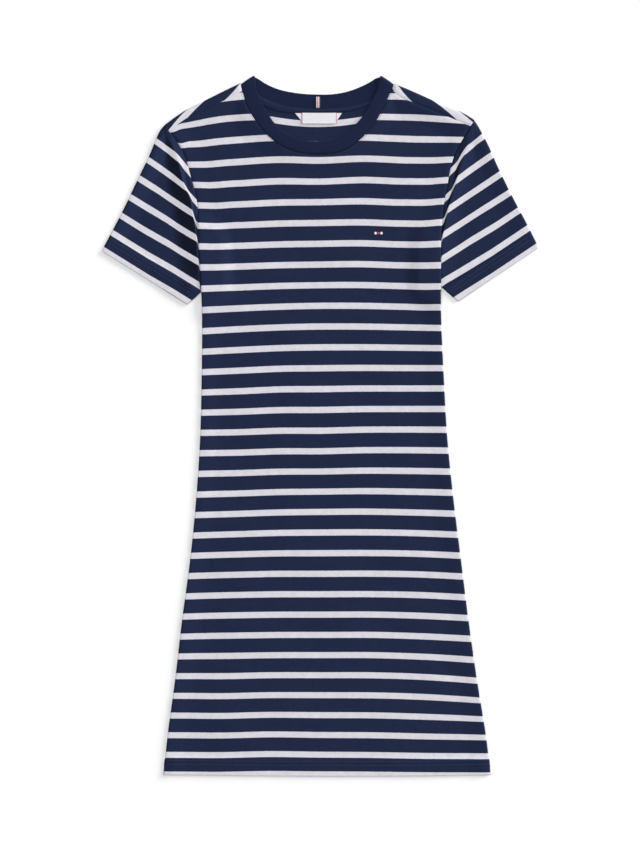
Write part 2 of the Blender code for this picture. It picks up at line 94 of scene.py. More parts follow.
class Crest(NamedTuple):
    """A place on the crest of the fold beside a sleeve's armhole, in millimetres.

    The fold runs out over `run`, falls in over `face` and hides `slip` of the cloth.
    """

    across: float
    drop: float
    height: float
    run: float
    face: float
    slip: float


class Bend(NamedTuple):
    """How far a sleeve's stripe is bent towards the hem, from close beside the crest out to 65 mm from it."""

    from_hem: float
    at_2: float
    at_10: float
    at_21: float
    at_35: float
    at_65: float


class Crease(NamedTuple):
    """A soft ridge, or a trough where its height is negative, from one place to another."""

    across: float
    drop: float
    to_across: float
    to_drop: float
    width: float
    height: float


class Side(Enum):
    """The side of the dress as it is looked at."""

    LEFT = "left"
    RIGHT = "right"

    @property
    def sign(self) -> int:
        """-1 on the left, 1 on the right."""
        return -1 if self is Side.LEFT else 1


class Layer(Enum):
    """The front or the back of the dress."""

    FRONT = "front"
    BACK = "back"


def plan(points: Sequence) -> Array:
    """The x and y, in metres, of rows that begin with across and drop in millimetres."""
    return np.array([(point[0] * MM, TOP - point[1] * MM) for point in points])


def raised(flat: Array, heights: Array) -> Array:
    """Places in plan with their heights."""
    return np.concatenate([flat, heights[..., None]], axis=-1)


def lengths(vectors: Array) -> Array:
    """The length of every vector, in plan."""
    return np.hypot(vectors[..., 0], vectors[..., 1])


def unit(vectors: Array) -> Array:
    """The same directions, each with a length of one."""
    return vectors / lengths(vectors)[..., None]


def marks_along(line: Array) -> Array:
    """The length of a line up to each of its places."""
    return np.concatenate(([0.0], np.cumsum(lengths(np.diff(line, axis=0)))))


def ease(share: Array) -> Array:
    """Nothing up to 0, one from 1 on, with a soft change between."""
    share = np.clip(share, 0.0, 1.0)
    return share * share * (3 - 2 * share)


def fade(share: Array) -> Array:
    """One up to 0, nothing from 1 on, with a soft change between."""
    return 1 - ease(share)


def quarter(share: Array, fullness: float = 2.0) -> Array:
    """The rise of a rolled edge: 0 at its edge, 1 from one radius in, a quarter circle or a fuller one."""
    return np.maximum(0.0, 1 - (1 - np.clip(share, 0.0, 1.0)) ** fullness) ** (1 / fullness)


def hermite(where: Array, knots: Array, values: Array) -> Array:
    """A smooth curve through values at knots.

    Args:
        where: places at which the curve is read, held inside the knots.
        knots: rising places of the values.
        values: one value for each knot, or one row for each knot with a value for each place.

    Returns:
        The curve at every place.
    """
    where = np.clip(where, knots[0], knots[-1])
    slopes = np.gradient(values, knots, axis=0)
    index = np.clip(np.searchsorted(knots, where, side="right") - 1, 0, len(knots) - 2)
    span = knots[index + 1] - knots[index]
    t = (where - knots[index]) / span

    def read(table: Array, at: Array) -> Array:
        """Entries of a table at these knots."""
        return table[at] if table.ndim == 1 else np.take_along_axis(table, at[None], 0)[0]

    start, end = read(values, index), read(values, index + 1)
    leave, arrive = read(slopes, index) * span, read(slopes, index + 1) * span
    return (start * (1 + 2 * t) * (1 - t) ** 2 + end * t * t * (3 - 2 * t)
            + leave * t * (1 - t) ** 2 - arrive * t * t * (1 - t))


class Path:
    """A smooth line through a few places in plan, read by the share of its length."""

    STEPS = 16

    def __init__(self, knots: Array) -> None:
        """Join the knots smoothly.

        Args:
            knots: places in plan, in order.
        """
        marks = marks_along(knots)
        fine = np.unique(np.concatenate([np.linspace(a, b, self.STEPS) for a, b in zip(marks, marks[1:])]))
        self.places = np.stack([hermite(fine, marks, knots[:, axis]) for axis in (0, 1)], axis=1)
        self.marks = marks_along(self.places)

    @property
    def length(self) -> float:
        """The length of the line, in metres."""
        return float(self.marks[-1])

    def at(self, shares: Array) -> Array:
        """The places at these shares of the length."""
        marks = np.asarray(shares) * self.length
        return np.stack([np.interp(marks, self.marks, self.places[:, axis]) for axis in (0, 1)], axis=-1)

    def split(self, count: int) -> Array:
        """Places that divide the line into equal lengths."""
        return self.at(np.linspace(0.0, 1.0, count + 1))


class Nearness(NamedTuple):
    """How places lie to a line: distance, share of the line where it is nearest, and on which side."""

    distance: Array
    share: Array
    side: Array


def nearness(places: Array, line: Array) -> Nearness:
    """Measure places against a broken line, in plan.

    Args:
        places: an array of places whose first two entries are x and y.
        line: the places of the line, in order.

    Returns:
        Distances, shares, and 1 for places left of the line or -1 for those right of it.
    """
    start, run, marks = line[:-1], np.diff(line, axis=0), marks_along(line)
    reach = lengths(run)
    apart = places[..., None, :2] - start
    share = np.clip((apart * run).sum(-1) / (reach ** 2), 0.0, 1.0)
    distance = lengths(apart - share[..., None] * run)
    best = distance.argmin(-1)
    pick = best[..., None]
    along = marks[best] + np.take_along_axis(share, pick, -1)[..., 0] * reach[best]
    turn = run[:, 0] * apart[..., 1] - run[:, 1] * apart[..., 0]
    side = np.where(np.take_along_axis(turn, pick, -1)[..., 0] >= 0, 1.0, -1.0)
    return Nearness(np.take_along_axis(distance, pick, -1)[..., 0], along / marks[-1], side)


def outward_normals(line: Array) -> Array:
    """The directions square to a line, to its left as it is followed."""
    tangent = unit(np.gradient(line, axis=0))
    return np.stack([-tangent[:, 1], tangent[:, 0]], axis=1)


def creases_at(places: Array, table: Sequence[Crease]) -> Array:
    """How much the creases of a table lift the cloth at these places, in metres.

    Args:
        places: places in plan.
        table: the creases.

    Returns:
        The rise at each place.
    """
    rise = np.zeros(places.shape[:-1])
    for crease in table:
        near = nearness(places, plan([(crease.across, crease.drop), (crease.to_across, crease.to_drop)]))
        taper = np.sin(math.pi * np.clip(near.share, *CREASE_ENDS))
        rise += crease.height * MM * fade(near.distance / (crease.width * MM)) * taper
    return rise


# --- the plan of the dress ---
@dataclass(frozen=True)
class Pattern:
    """The lines of the dress as it lies: edges, folds and seams, in millimetres."""

    side_rows: tuple = (
        Pair(898.6, -201.2, 219.0), Pair(853.7, -196.9, 213.9), Pair(776.6, -186.6, 201.7),
        Pair(699.4, -177.6, 190.7), Pair(622.3, -167.3, 181.1), Pair(545.1, -159.6, 171.5),
        Pair(468.0, -154.5, 163.7), Pair(390.9, -152.5, 159.2), Pair(339.4, -151.9, 156.7),
        Pair(295.7, -152.1, 155.2), Pair(250.0, -154.4, 155.2), Pair(210.9, -156.7, 155.2),
    )
    armhole_rows: tuple = (
        Pair(210.9, -156.7, 155.2), Pair(188.0, -157.2, 156.9), Pair(163.0, -158.3, 159.6),
        Pair(144.0, -162.2, 163.2), Pair(127.0, -167.1, 166.2), Pair(109.0, -172.0, 170.3),
        Pair(94.5, -177.9, 175.6), Pair(81.0, -186.6, 183.6),
    )
    hem_points: tuple = (
        Point(-201.2, 898.6), Point(-110.0, 899.6), Point(9.0, 900.5), Point(120.0, 900.1),
        Point(219.0, 898.6),
    )
    fold_points: tuple = (
        (Point(-102.8, 9.2), Point(-121.0, 18.0), Point(-151.9, 33.4), Point(-172.5, 43.7),
         Point(-187.9, 54.0), Point(-199.3, 62.5)),
        (Point(94.9, 9.8), Point(114.9, 18.0), Point(138.0, 28.3), Point(161.8, 38.6),
         Point(186.2, 48.9), Point(198.6, 56.8)),
    )
    seam_points: tuple = (
        (Point(-100.2, 19.8), Point(-112.0, 26.2), Point(-124.0, 32.1), Point(-149.3, 42.9),
         Point(-169.3, 53.4), Point(-194.6, 70.6)),
        (Point(92.6, 17.0), Point(100.8, 25.7), Point(119.8, 34.3), Point(156.3, 48.7), Point(193.2, 64.9)),
    )
    neck_front_seam: tuple = (
        Point(-100.2, 19.8), Point(-94.9, 36.0), Point(-88.8, 48.3), Point(-78.0, 63.6), Point(-59.2, 83.2),
        Point(-34.0, 96.0), Point(-4.2, 100.3), Point(28.6, 96.0), Point(49.9, 82.8), Point(71.4, 58.4),
        Point(84.6, 33.4), Point(92.6, 17.0),
    )
    neck_back_seam: tuple = (
        Point(-101.9, 12.4), Point(-82.1, 24.6), Point(-55.2, 37.0), Point(-20.1, 42.7), Point(8.0, 43.1),
        Point(39.5, 39.9), Point(66.8, 31.0), Point(93.9, 12.8),
    )
    neck_front_edge: tuple = (
        Point(-82.5, 14.1), Point(-77.3, 29.6), Point(-70.4, 42.8), Point(-56.6, 63.4),
        Point(-33.0, 79.7), Point(-5.0, 84.2), Point(26.0, 77.3), Point(53.3, 53.5), Point(64.7, 35.0),
        Point(74.6, 13.6),
    )
    neck_back_edge: tuple = (
        Point(-80.2, 3.2), Point(-72.2, 8.4), Point(-56.8, 15.7), Point(-33.6, 21.2), Point(-8.0, 23.4),
        Point(20.4, 22.6), Point(35.8, 19.5), Point(51.2, 13.9), Point(66.7, 6.0), Point(72.0, 2.6),
    )
    band_folds: tuple = (
        (Point(-84.8, 0.0), Point(-102.0, 8.9)),
        (Point(77.3, 0.1), Point(94.2, 9.5)),
    )
    sleeve_tops: tuple = (
        (Point(-196.9, 60.4), Point(-201.0, 64.3), Point(-205.8, 70.2), Point(-210.3, 79.5),
         Point(-218.9, 100.3), Point(-233.8, 131.1), Point(-253.4, 172.3), Point(-281.1, 225.0)),
        (Point(195.9, 55.0), Point(199.0, 58.7), Point(211.2, 79.3), Point(230.4, 120.9), Point(250.8, 161.9),
         Point(264.6, 187.7), Point(281.1, 220.5)),
    )
    underarms: tuple = (
        (Point(-142.9, 267.4), Point(-153.2, 277.6), Point(-170.4, 293.8)),
        (Point(145.1, 260.4), Point(155.5, 270.8), Point(177.1, 289.9)),
    )
    tucks: tuple = (
        (Point(-155.8, 218.6), Point(-153.2, 272.6)),
        (Point(155.4, 216.0), Point(155.5, 266.0)),
    )
    tape_edge: tuple = (
        Point(-88.0, 27.0), Point(-74.5, 37.0), Point(-61.0, 43.4), Point(-33.0, 47.3), Point(-2.0, 46.9),
        Point(25.0, 46.6), Point(41.0, 44.6), Point(57.0, 39.6), Point(74.0, 31.5), Point(86.0, 22.5),
    )

    @staticmethod
    def _of(side: Side, both: tuple) -> tuple:
        """The left or the right one of two tables."""
        return both[0] if side is Side.LEFT else both[1]

    def side(self, side: Side) -> Path:
        """The side seam, from the hem up to the armhole."""
        return Path(plan([(getattr(row, side.value), row.drop) for row in self.side_rows]))

    def armhole(self, side: Side) -> Path:
        """The armhole seam, from below the arm up to the shoulder seam."""
        rows = [(getattr(row, side.value), row.drop) for row in self.armhole_rows]
        return Path(plan([*rows, self._of(side, self.seam_points)[-1]]))

    def hem(self) -> Path:
        """The hem of the skirt, from left to right."""
        return Path(plan(self.hem_points))

    def shoulder_fold(self, side: Side) -> Path:
        """The fold along the top of a shoulder, from the neck out."""
        return Path(plan(self._of(side, self.fold_points)))

    def shoulder_seam(self, side: Side) -> Path:
        """The seam a little forward of the fold, from the neck out."""
        return Path(plan(self._of(side, self.seam_points)))

    def neck_seam(self, layer: Layer) -> Path:
        """The seam that joins the neckband, from left to right."""
        return Path(plan(self.neck_front_seam if layer is Layer.FRONT else self.neck_back_seam))

    def sleeve_top(self, side: Side) -> Path:
        """The upper fold of a sleeve, from the shoulder to the hem."""
        return Path(plan(self._of(side, self.sleeve_tops)))

    def underarm(self, side: Side) -> Path:
        """The underarm seam of a sleeve, from its tucked end to the hem."""
        return Path(plan(self._of(side, self.underarms)))

    def body_edge(self, side: Side, drop: Array) -> Array:
        """Where the body ends on one side, in millimetres across, at each drop."""
        rows = sorted(set(self.side_rows + self.armhole_rows))
        return np.interp(drop, [row.drop for row in rows], [getattr(row, side.value) for row in rows])


@dataclass(frozen=True)
class Lay:
    """How the cloth lies: walls, radii and heights, in metres."""

    jersey: float = 0.85 * MM
    rib: float = 2.0 * MM
    flat: float = 2.8 * MM
    shoulder_fold: float = 3.1 * MM
    band_fold: float = 3.3 * MM
    side_roll: float = 2.2 * MM
    side_fullness: float = 2.5
    armhole_rise: float = 0.7 * MM
    armhole_top: float = 64.0           # the drop of the armhole's upper end, in millimetres
    neck_front: float = 4.8 * MM
    band_front: float = 5.6 * MM
    neck_depth: float = 103.0 * MM
    ease_width: float = 26.0 * MM
    hem_depth: float = 22.0 * MM
    hem_roll: float = 1.0 * MM
    hem_rise: float = 1.3 * MM
    hem_overlap: float = 1.5 * MM       # the step of the hem starts this far below its raw edge
    hem_step: float = 3.5 * MM
    ditch: float = 0.85 * MM
    ditch_width: float = 2.2 * MM
    inside_front: float = 2.15 * MM     # the heights that the inside of each hem doesn't pass
    inside_back: float = 1.95 * MM
    least_roll: float = 0.05 * MM
    allowance: float = 3.0 * MM
    allowance_drop: float = 1.9 * MM
    tuck_lift: float = 3.8 * MM
    tuck_reach: float = 24.0 * MM
    tuck_ramp: float = 22.0 * MM

    def over_armhole(self, drop: Array) -> Array:
        """The height along the armhole seam, which comes down from the shoulder, at drops in millimetres."""
        fall = fade((drop - self.armhole_top) * MM / (2 * self.ease_width))
        return self.flat + np.hypot(self.armhole_rise, (2 * self.shoulder_fold - self.flat) * fall)

    def over_neck(self, places: Array, middle: float) -> Array:
        """The height along the neck seam, from the shoulder's height down to that at the middle."""
        return middle + (2 * self.shoulder_fold - middle) * fade((TOP - places[..., 1]) / self.neck_depth)

    def lift(self, places: Array, pattern: Pattern) -> Array:
        """How much the body is lifted by the sleeves tucked below its sides.

        Args:
            places: places in plan.
            pattern: the lines of the dress.

        Returns:
            The lift at each place.
        """
        lift = np.zeros(places.shape[:-1])
        for tuck in pattern.tucks:
            near = nearness(places, plan(tuck))
            lift = np.maximum(lift, self.tuck_lift * fade((near.distance - self.tuck_reach) / self.tuck_ramp))
        return lift


@dataclass(frozen=True)
class Swell:
    """The faint unevenness of cloth that was smoothed flat by hand: a few long waves."""

    height: float = 0.28 * MM
    # the length of each wave in millimetres, its direction in degrees and its phase
    waves: tuple = ((96.0, 24.0, 0.4), (131.0, 78.0, 2.1), (74.0, -41.0, 4.0), (183.0, -12.0, 1.2),
                    (61.0, 63.0, 5.3))

    def at(self, places: Array) -> Array:
        """The height of the waves.

        Args:
            places: places in plan.

        Returns:
            The height at each place.
        """
        rise = np.zeros(places.shape[:-1])
        for length, degrees, phase in self.waves:
            angle = math.radians(degrees)
            along = places[..., 0] * math.cos(angle) + places[..., 1] * math.sin(angle)
            rise += np.sin(2 * math.pi * along / (length * MM) + phase)
        return self.height * rise / len(self.waves) ** 0.5


@dataclass(frozen=True)
class Stripes:
    """Where the stripes lie: their repeat, and how they drift from straight as the dress lies."""

    repeat: float = 26.35 * MM
    white: float = 7.9 * MM
    first_front: float = 108.65
    first_back: float = 7.9
    back_middle: float = 4.0        # how far left of the middle the back's curve has its lowest place
    back_sag: float = 0.7
    back_rise: float = 5.5          # how far the curve rises beside the neck, and its reach across
    back_reach: float = 58.0
    back_slack: float = 0.75        # beyond its reach it dies out over this share of it
    back_fade: tuple = (90.0, 80.0)     # the drop from which it dies out, and over which length
    columns: tuple = (-1.0, -0.67, -0.33, 0.0, 0.33, 0.67, 1.0)
    # across, then the drop of the stripes there: along the fold of each shoulder, and along its seam
    flaps: dict = field(default_factory=lambda: {
        Side.LEFT: (((103.6, 12.2), (146.6, 29.9), (170.4, 38.5), (198.8, 45.5)),
                    ((100.2, 6.0), (124.0, 12.2), (169.1, 29.9), (196.6, 38.5))),
        Side.RIGHT: (((99.7, 12.2), (141.1, 29.9), (175.3, 38.2), (184.0, 39.4), (198.2, 41.1)),
                     ((92.6, 3.4), (119.8, 12.2), (174.3, 29.9), (196.5, 34.5))),
    })
    # drop, then how far the stripes of the front sink there at each of the seven columns, in millimetres
    drift: tuple = (
        (17.0, 12.0, -1.9, -6.6, -4.0, -3.5, -2.0, 2.5),
        (29.0, 12.0, -0.3, -5.0, -4.0, -3.5, -2.0, 2.5),
        (55.0, 12.0, -0.6, -3.0, -3.0, -3.0, -2.3, 2.2),
        (82.0, 6.9, 1.3, -2.5, -2.5, -2.8, -0.9, 0.0),
        (108.0, 5.6, 2.4, -1.0, 0.0, -2.2, -0.3, -1.2),
        (161.0, 5.0, 3.8, 1.3, 0.8, -0.3, 1.3, -0.5),
        (240.0, 5.9, 4.5, 2.8, 2.0, 1.5, 3.0, 3.2),
        (319.0, 8.7, 5.9, 3.7, 2.6, 2.7, 3.6, 4.7),
        (398.0, 8.6, 6.7, 4.4, 4.0, 3.3, 3.3, 3.2),
        (477.0, 7.5, 6.7, 5.0, 5.0, 3.6, 3.5, 4.0),
        (556.0, 8.0, 6.5, 4.6, 3.9, 3.5, 4.5, 6.0),
        (635.0, 7.4, 5.8, 4.5, 4.4, 4.2, 5.0, 7.7),
        (714.0, 6.2, 5.0, 4.1, 4.0, 3.9, 5.7, 8.7),
        (793.0, 3.2, 3.7, 2.4, 2.5, 2.7, 5.0, 9.5),
        (872.0, -0.2, 0.4, -1.0, -0.2, 0.3, 1.6, 1.8),
        (900.0, -1.5, -1.0, -2.0, -1.6, -1.2, -0.4, -0.3),
    )
    dip_at: float = 0.85            # the share of the half width at which that hollow is deepest
    dip_width: float = 0.17
    # drop, then how far the stripes dip besides in the hollow along the left and the right armhole
    dips: tuple = (
        (60.0, 0.0, 0.0), (82.0, 0.7, -0.3), (108.0, 0.8, 0.5), (134.0, 1.1, 0.7), (161.0, 0.95, 0.85),
        (187.0, 0.9, 0.8), (213.0, 0.7, 0.6), (240.0, 0.4, 0.4), (280.0, 0.0, 0.6), (320.0, 0.0, 0.0),
    )
    # across, drop, reach and fall of the places where a stripe's end droops towards the armhole
    droops: tuple = ((-195.0, 72.0, 20.0, 5.0), (-178.0, 86.0, 11.0, 2.2), (195.0, 66.0, 14.0, 1.5))

    def front(self, places: Array, pattern: Pattern) -> Array:
        """The cloth coordinates of places on the front.

        Args:
            places: places in plan.
            pattern: the lines of the dress.

        Returns:
            For each place, across and along the cloth; white stripes lie on whole repeats of the second.
        """
        across, drop = places[..., 0] / MM, (TOP - places[..., 1]) / MM
        width = np.where(across < 0, -pattern.body_edge(Side.LEFT, drop), pattern.body_edge(Side.RIGHT, drop))
        column = np.clip(across / width, -1.0, 1.0).ravel()
        columns, rows = np.array(self.columns), np.array(self.drift)
        at_rows = np.stack([hermite(column, columns, row[1:]) for row in rows])
        sink = hermite(drop.ravel(), rows[:, 0], at_rows)
        dips = np.array(self.dips)
        dip = np.where(column < 0, *(np.interp(drop.ravel(), dips[:, 0], dips[:, i]) for i in (1, 2)))
        sink = (sink + dip * fade(np.abs(np.abs(column) - self.dip_at) / self.dip_width)).reshape(drop.shape)
        for at_across, at_drop, reach, fall in self.droops:
            sink = sink + fall * fade(np.hypot(across - at_across, drop - at_drop) / reach)
        return np.stack([places[..., 0], (drop - self.first_front - sink) * MM], axis=-1)

    def back(self, places: Array) -> Array:
        """The cloth coordinates of places on the back, whose stripes hang in a shallow curve at the neck.

        Args:
            places: places in plan.

        Returns:
            For each place, across and along the cloth.
        """
        across, drop = places[..., 0] / MM + self.back_middle, (TOP - places[..., 1]) / MM
        reach = np.abs(across) / self.back_reach
        curve = np.where(reach < 1, reach ** 2, fade((reach - 1) / self.back_slack))
        start, span = self.back_fade
        rise = self.back_rise * curve * fade((drop - start) / span)
        return np.stack([places[..., 0], (drop - self.first_back - self.back_sag + rise) * MM], axis=-1)


# --- finishes ---
def linear(code: str) -> tuple[float, float, float, float]:
    """A linear colour from an sRGB hex value such as "#24304F"."""
    values = [int(code[i:i + 2], 16) / 255 for i in (1, 3, 5)]
    return (*[v / 12.92 if v <= 0.04045 else ((v + 0.055) / 1.055) ** 2.4 for v in values], 1.0)


class Shader:
    """A material under construction: a Principled BSDF and the nodes that lead to it."""

    def __init__(self, name: str) -> None:
        """Start a material.

        Args:
            name: the name of the real material.
        """
        self.material = bpy.data.materials.new(name)
        self.material.use_nodes = True
        self.tree = self.material.node_tree
        self.surface = self.tree.nodes["Principled BSDF"]

    def add(self, kind: str, links: Optional[dict] = None, values: Optional[dict] = None,
            **settings: object) -> bpy.types.Node:
        """Add a node.

        Args:
            kind: the node's type.
            links: output sockets by the input that each leads to.
            values: constants by input.
            settings: the node's own properties.

        Returns:
            The new node.
        """
        node = self.tree.nodes.new(kind)
        for key, value in settings.items():
            setattr(node, key, value)
        for key, value in (values or {}).items():
            node.inputs[key].default_value = value
        for key, socket in (links or {}).items():
            self.tree.links.new(socket, node.inputs[key])
        return node

    def math(self, operation: str, first: Operand, second: Optional[Operand] = None,
             third: Optional[Operand] = None) -> Socket:
        """Add a Math node.

        Args:
            operation: its operation.
            first: the first operand, a socket or a number.
            second: the second one, if the operation has it.
            third: the third one.

        Returns:
            Its output socket.
        """
        node = self.add("ShaderNodeMath", operation=operation)
        for i, operand in enumerate((first, second, third)):
            if isinstance(operand, (int, float)):
                node.inputs[i].default_value = operand
            elif operand is not None:
                self.tree.links.new(operand, node.inputs[i])
        return node.outputs[0]

    def cloth_axes(self) -> tuple[Socket, Socket, Socket]:
        """The places of the cloth: across it, along it, and both as one vector, in metres.

        Returns:
            The three sockets.
        """
        uv = self.add("ShaderNodeUVMap", uv_map=UV_NAME)
        split = self.add("ShaderNodeSeparateXYZ", links={0: uv.outputs[0]})
        return split.outputs[0], split.outputs[1], uv.outputs[0]

    def noise(self, vector: Socket, size: float, detail: float = 3.0) -> Socket:
        """Noise from 0 to 1, with blobs of about this size in metres and finer layers."""
        values = {"Scale": 1 / size, "Detail": detail, "Roughness": 0.55}
        return self.add("ShaderNodeTexNoise", {"Vector": vector}, values).outputs[0]

    def remap(self, value: Socket, low: float, high: float, to_low: float, to_high: float,
              kind: str = "SMOOTHSTEP") -> Socket:
        """A value carried over from the range `low` to `high` to the range `to_low` to `to_high`."""
        values = {1: low, 2: high, 3: to_low, 4: to_high}
        return self.add("ShaderNodeMapRange", {0: value}, values, interpolation_type=kind).outputs[0]

    def mix(self, factor: Operand, first: Operand, second: Operand, blend: str = "MIX") -> Socket:
        """Mix two colours.

        Args:
            factor: the share of the second, a socket or a number.
            first: a socket or a linear colour.
            second: the same.
            blend: the way in which they are mixed.

        Returns:
            The mixed colour.
        """
        node = self.add("ShaderNodeMix", data_type="RGBA", blend_type=blend)
        for socket, operand in ((node.inputs[0], factor), (node.inputs[6], first), (node.inputs[7], second)):
            if isinstance(operand, Socket):
                self.tree.links.new(operand, socket)
            else:
                socket.default_value = operand
        return node.outputs[2]

    def tinted(self, colour: Operand, value: Socket) -> Socket:
        """A colour, a socket or a linear one, multiplied by a value."""
        grey = self.add("ShaderNodeCombineColor", links={0: value, 1: value, 2: value}).outputs[0]
        return self.mix(1.0, colour, grey, "MULTIPLY")

    def ridges(self, along: Socket, spacing: float) -> Socket:
        """Ridges at this spacing in metres: 0 in the grooves, 1 on the crests."""
        return self.math("MULTIPLY", self.math("PINGPONG", along, spacing / 2), 2 / spacing)

    def blotches(self, place: Socket, size: float, detail: float, low: float,
                 high: float) -> Socket:
        """Soft unevenness of tone, from `low` in its dark blobs to `high` in its pale ones."""
        return self.remap(self.noise(place, size, detail), 0.3, 0.7, low, high, "LINEAR")

    def colour(self, socket: Socket) -> None:
        """Lead a colour to the surface."""
        self.tree.links.new(socket, self.surface.inputs["Base Color"])

    def bump(self, height: Socket, depth: float, strength: float = 1.0) -> None:
        """Lead a height from 0 to 1 to the surface, where 1 stands for a depth in metres."""
        node = self.add("ShaderNodeBump", {"Height": height}, {"Distance": depth, "Strength": strength})
        self.tree.links.new(node.outputs[0], self.surface.inputs["Normal"])

    def fixed(self, **values: float) -> None:
        """Set constants on the surface's own sockets, named with _ for a space."""
        for key, value in values.items():
            self.surface.inputs[key.replace("_", " ")].default_value = value


@dataclass(frozen=True)
class Jersey:
    """Single jersey of combed cotton, with yarn-dyed stripes.

    Fine wales run along the garment and courses across it. The cotton's short fibres give a dull, soft
    sheen. The navy carries painted shade and painted highlight, matched to the slope of the cloth: darker
    where the cloth falls to the left and paler where it falls to the right, as light from the right falls on
    a fold.
    """

    name: str = "striped_cotton_jersey"
    painted_slope_shade: float = 0.7            # how strongly the slope of the cloth paints shade or highlight into the navy
    navy: str = "#19223D"
    white: str = "#CDCBD2"
    wale: float = 1.25 * MM     # real wales are about 0.6 mm; drawn twice as coarse so that they show
    course: float = 1.05 * MM   # real courses are about 0.5 mm
    edge: float = 0.35 * MM     # the change of yarn takes about one course
    wobble: float = 0.5 * MM    # by how much a course strays from its line
    deepest: float = 0.33       # the bounds of the painted shade and the painted highlight
    palest: float = 1.35

    def material(self, stripes: Stripes) -> Material:
        """The striped cloth.

        Args:
            stripes: the repeat and the width of the stripes.

        Returns:
            The material.
        """
        shader = Shader(self.name)
        across, along, place = shader.cloth_axes()
        grain = shader.noise(place, 4 * MM, 2.0)
        unevenness = shader.math("MULTIPLY_ADD", grain, self.wobble, -self.wobble / 2)
        row = shader.math("ADD", along, unevenness)
        from_white = shader.math("PINGPONG", row, stripes.repeat / 2)
        half = stripes.white / 2
        navy_share = shader.remap(from_white, half - self.edge, half + self.edge, 0.0, 1.0)
        # painted shade and painted highlight: the navy is darkened where the surface leans left and lightened
        # where it leans right, as if lit from the right
        normal = shader.add("ShaderNodeNewGeometry").outputs["Normal"]
        slope = shader.add("ShaderNodeSeparateXYZ", {"Vector": normal}).outputs["X"]
        lean = shader.math("MULTIPLY_ADD", slope, self.painted_slope_shade, 1.0)
        painted_slope_tone = shader.math("MINIMUM", shader.math("MAXIMUM", lean, self.deepest), self.palest)
        yarn = shader.mix(navy_share, linear(self.white), shader.tinted(linear(self.navy), painted_slope_tone))
        tone = shader.blotches(place, 9 * MM, 5.0, 0.94, 1.06)
        fleck = shader.blotches(place, 1.3 * MM, 2.0, 0.93, 1.07)
        shader.colour(shader.tinted(yarn, shader.math("MULTIPLY", tone, fleck)))
        shader.bump(self.loops(shader, across, along, place), 0.22 * MM, 0.55)
        shader.fixed(Roughness=0.8, IOR=1.45, Sheen_Weight=0.05, Sheen_Roughness=0.4, Specular_IOR_Level=0.12)
        return shader.material

    def loops(self, shader: Shader, across: Socket, along: Socket, place: Socket) -> Socket:
        """The height of the knitted loops: a column of leaning stitches in each wale.

        Args:
            shader: the material under construction.
            across: the place across the cloth.
            along: the place along it.
            place: both as one vector.

        Returns:
            The height.
        """
        wale = shader.math("PINGPONG", across, self.wale / 2)
        rib = shader.math("MULTIPLY", wale, 2 / self.wale)
        course = shader.ridges(shader.math("MULTIPLY_ADD", wale, 0.9, along), self.course)
        stitch = shader.math("MULTIPLY_ADD", course, 0.6, shader.math("MULTIPLY", rib, 0.6))
        return shader.math("MULTIPLY_ADD", shader.noise(place, 0.8 * MM, 2.0), 0.5, stitch)


@dataclass(frozen=True)
class Rib:
    """One-and-one cotton rib: fine upright ribs, a little deeper in colour than the jersey."""

    navy: str = "#151D38"
    spacing: float = 1.5 * MM   # real ribs are about 1 mm apart; drawn coarser so that they show

    def material(self) -> Material:
        """The rib of the neckband.

        Returns:
            The material.
        """
        shader = Shader("cotton_rib_knit")
        across, along, place = shader.cloth_axes()
        groove = shader.remap(shader.ridges(across, self.spacing), 0.0, 0.45, 0.0, 1.0)
        tone = shader.blotches(place, 7 * MM, 4.0, 0.92, 1.08)
        # painted shade: the rib's colour is darker in the grooves between the ribs and a little paler on
        # their crests
        depth = shader.math("MULTIPLY", tone, shader.remap(groove, 0.0, 1.0, 0.86, 1.04, "LINEAR"))
        shader.colour(shader.tinted(linear(self.navy), depth))
        loops = shader.math("MULTIPLY", shader.math("PINGPONG", along, 0.5 * MM), 0.5 / MM)
        shader.bump(shader.math("MULTIPLY_ADD", loops, 0.3, groove), 0.3 * MM, 0.6)
        shader.fixed(Roughness=0.82, IOR=1.45, Sheen_Weight=0.06, Sheen_Roughness=0.4,
                     Specular_IOR_Level=0.12)
        return shader.material


@dataclass(frozen=True)
class Tape:
    """A woven tape: flat, with a fine weave and coloured bands along its length or width."""

    name: str
    ground: str
    bands: tuple                # (middle, width, colour), across the tape, in millimetres
    weave: float = 0.9 * MM
    roughness: float = 0.6

    def material(self) -> Material:
        """The woven tape with its bands.

        Returns:
            The material.
        """
        shader = Shader(self.name)
        across, along, place = shader.cloth_axes()
        colour = linear(self.ground)
        for middle, width, code in self.bands:
            apart = shader.math("ABSOLUTE", shader.math("SUBTRACT", across, middle * MM))
            share = shader.remap(apart, (width / 2 - 0.12) * MM, (width / 2 + 0.12) * MM, 1.0, 0.0)
            colour = shader.mix(share, colour, linear(code))
        ribs, threads = shader.ridges(along, self.weave), shader.ridges(across, self.weave / 2)
        tone = shader.blotches(place, 3 * MM, 3.0, 0.95, 1.04)
        # painted shade: the tape is darker in the grooves of its weave ribs and a little paler on their
        # crests
        depth = shader.math("MULTIPLY", tone, shader.remap(ribs, 0.0, 1.0, 0.93, 1.03, "LINEAR"))
        shader.colour(shader.tinted(colour, depth))
        shader.bump(shader.math("MULTIPLY_ADD", threads, 0.4, ribs), 0.15 * MM, 0.6)
        shader.fixed(Roughness=self.roughness, IOR=1.5, Sheen_Weight=0.1, Sheen_Roughness=0.3)
        return shader.material


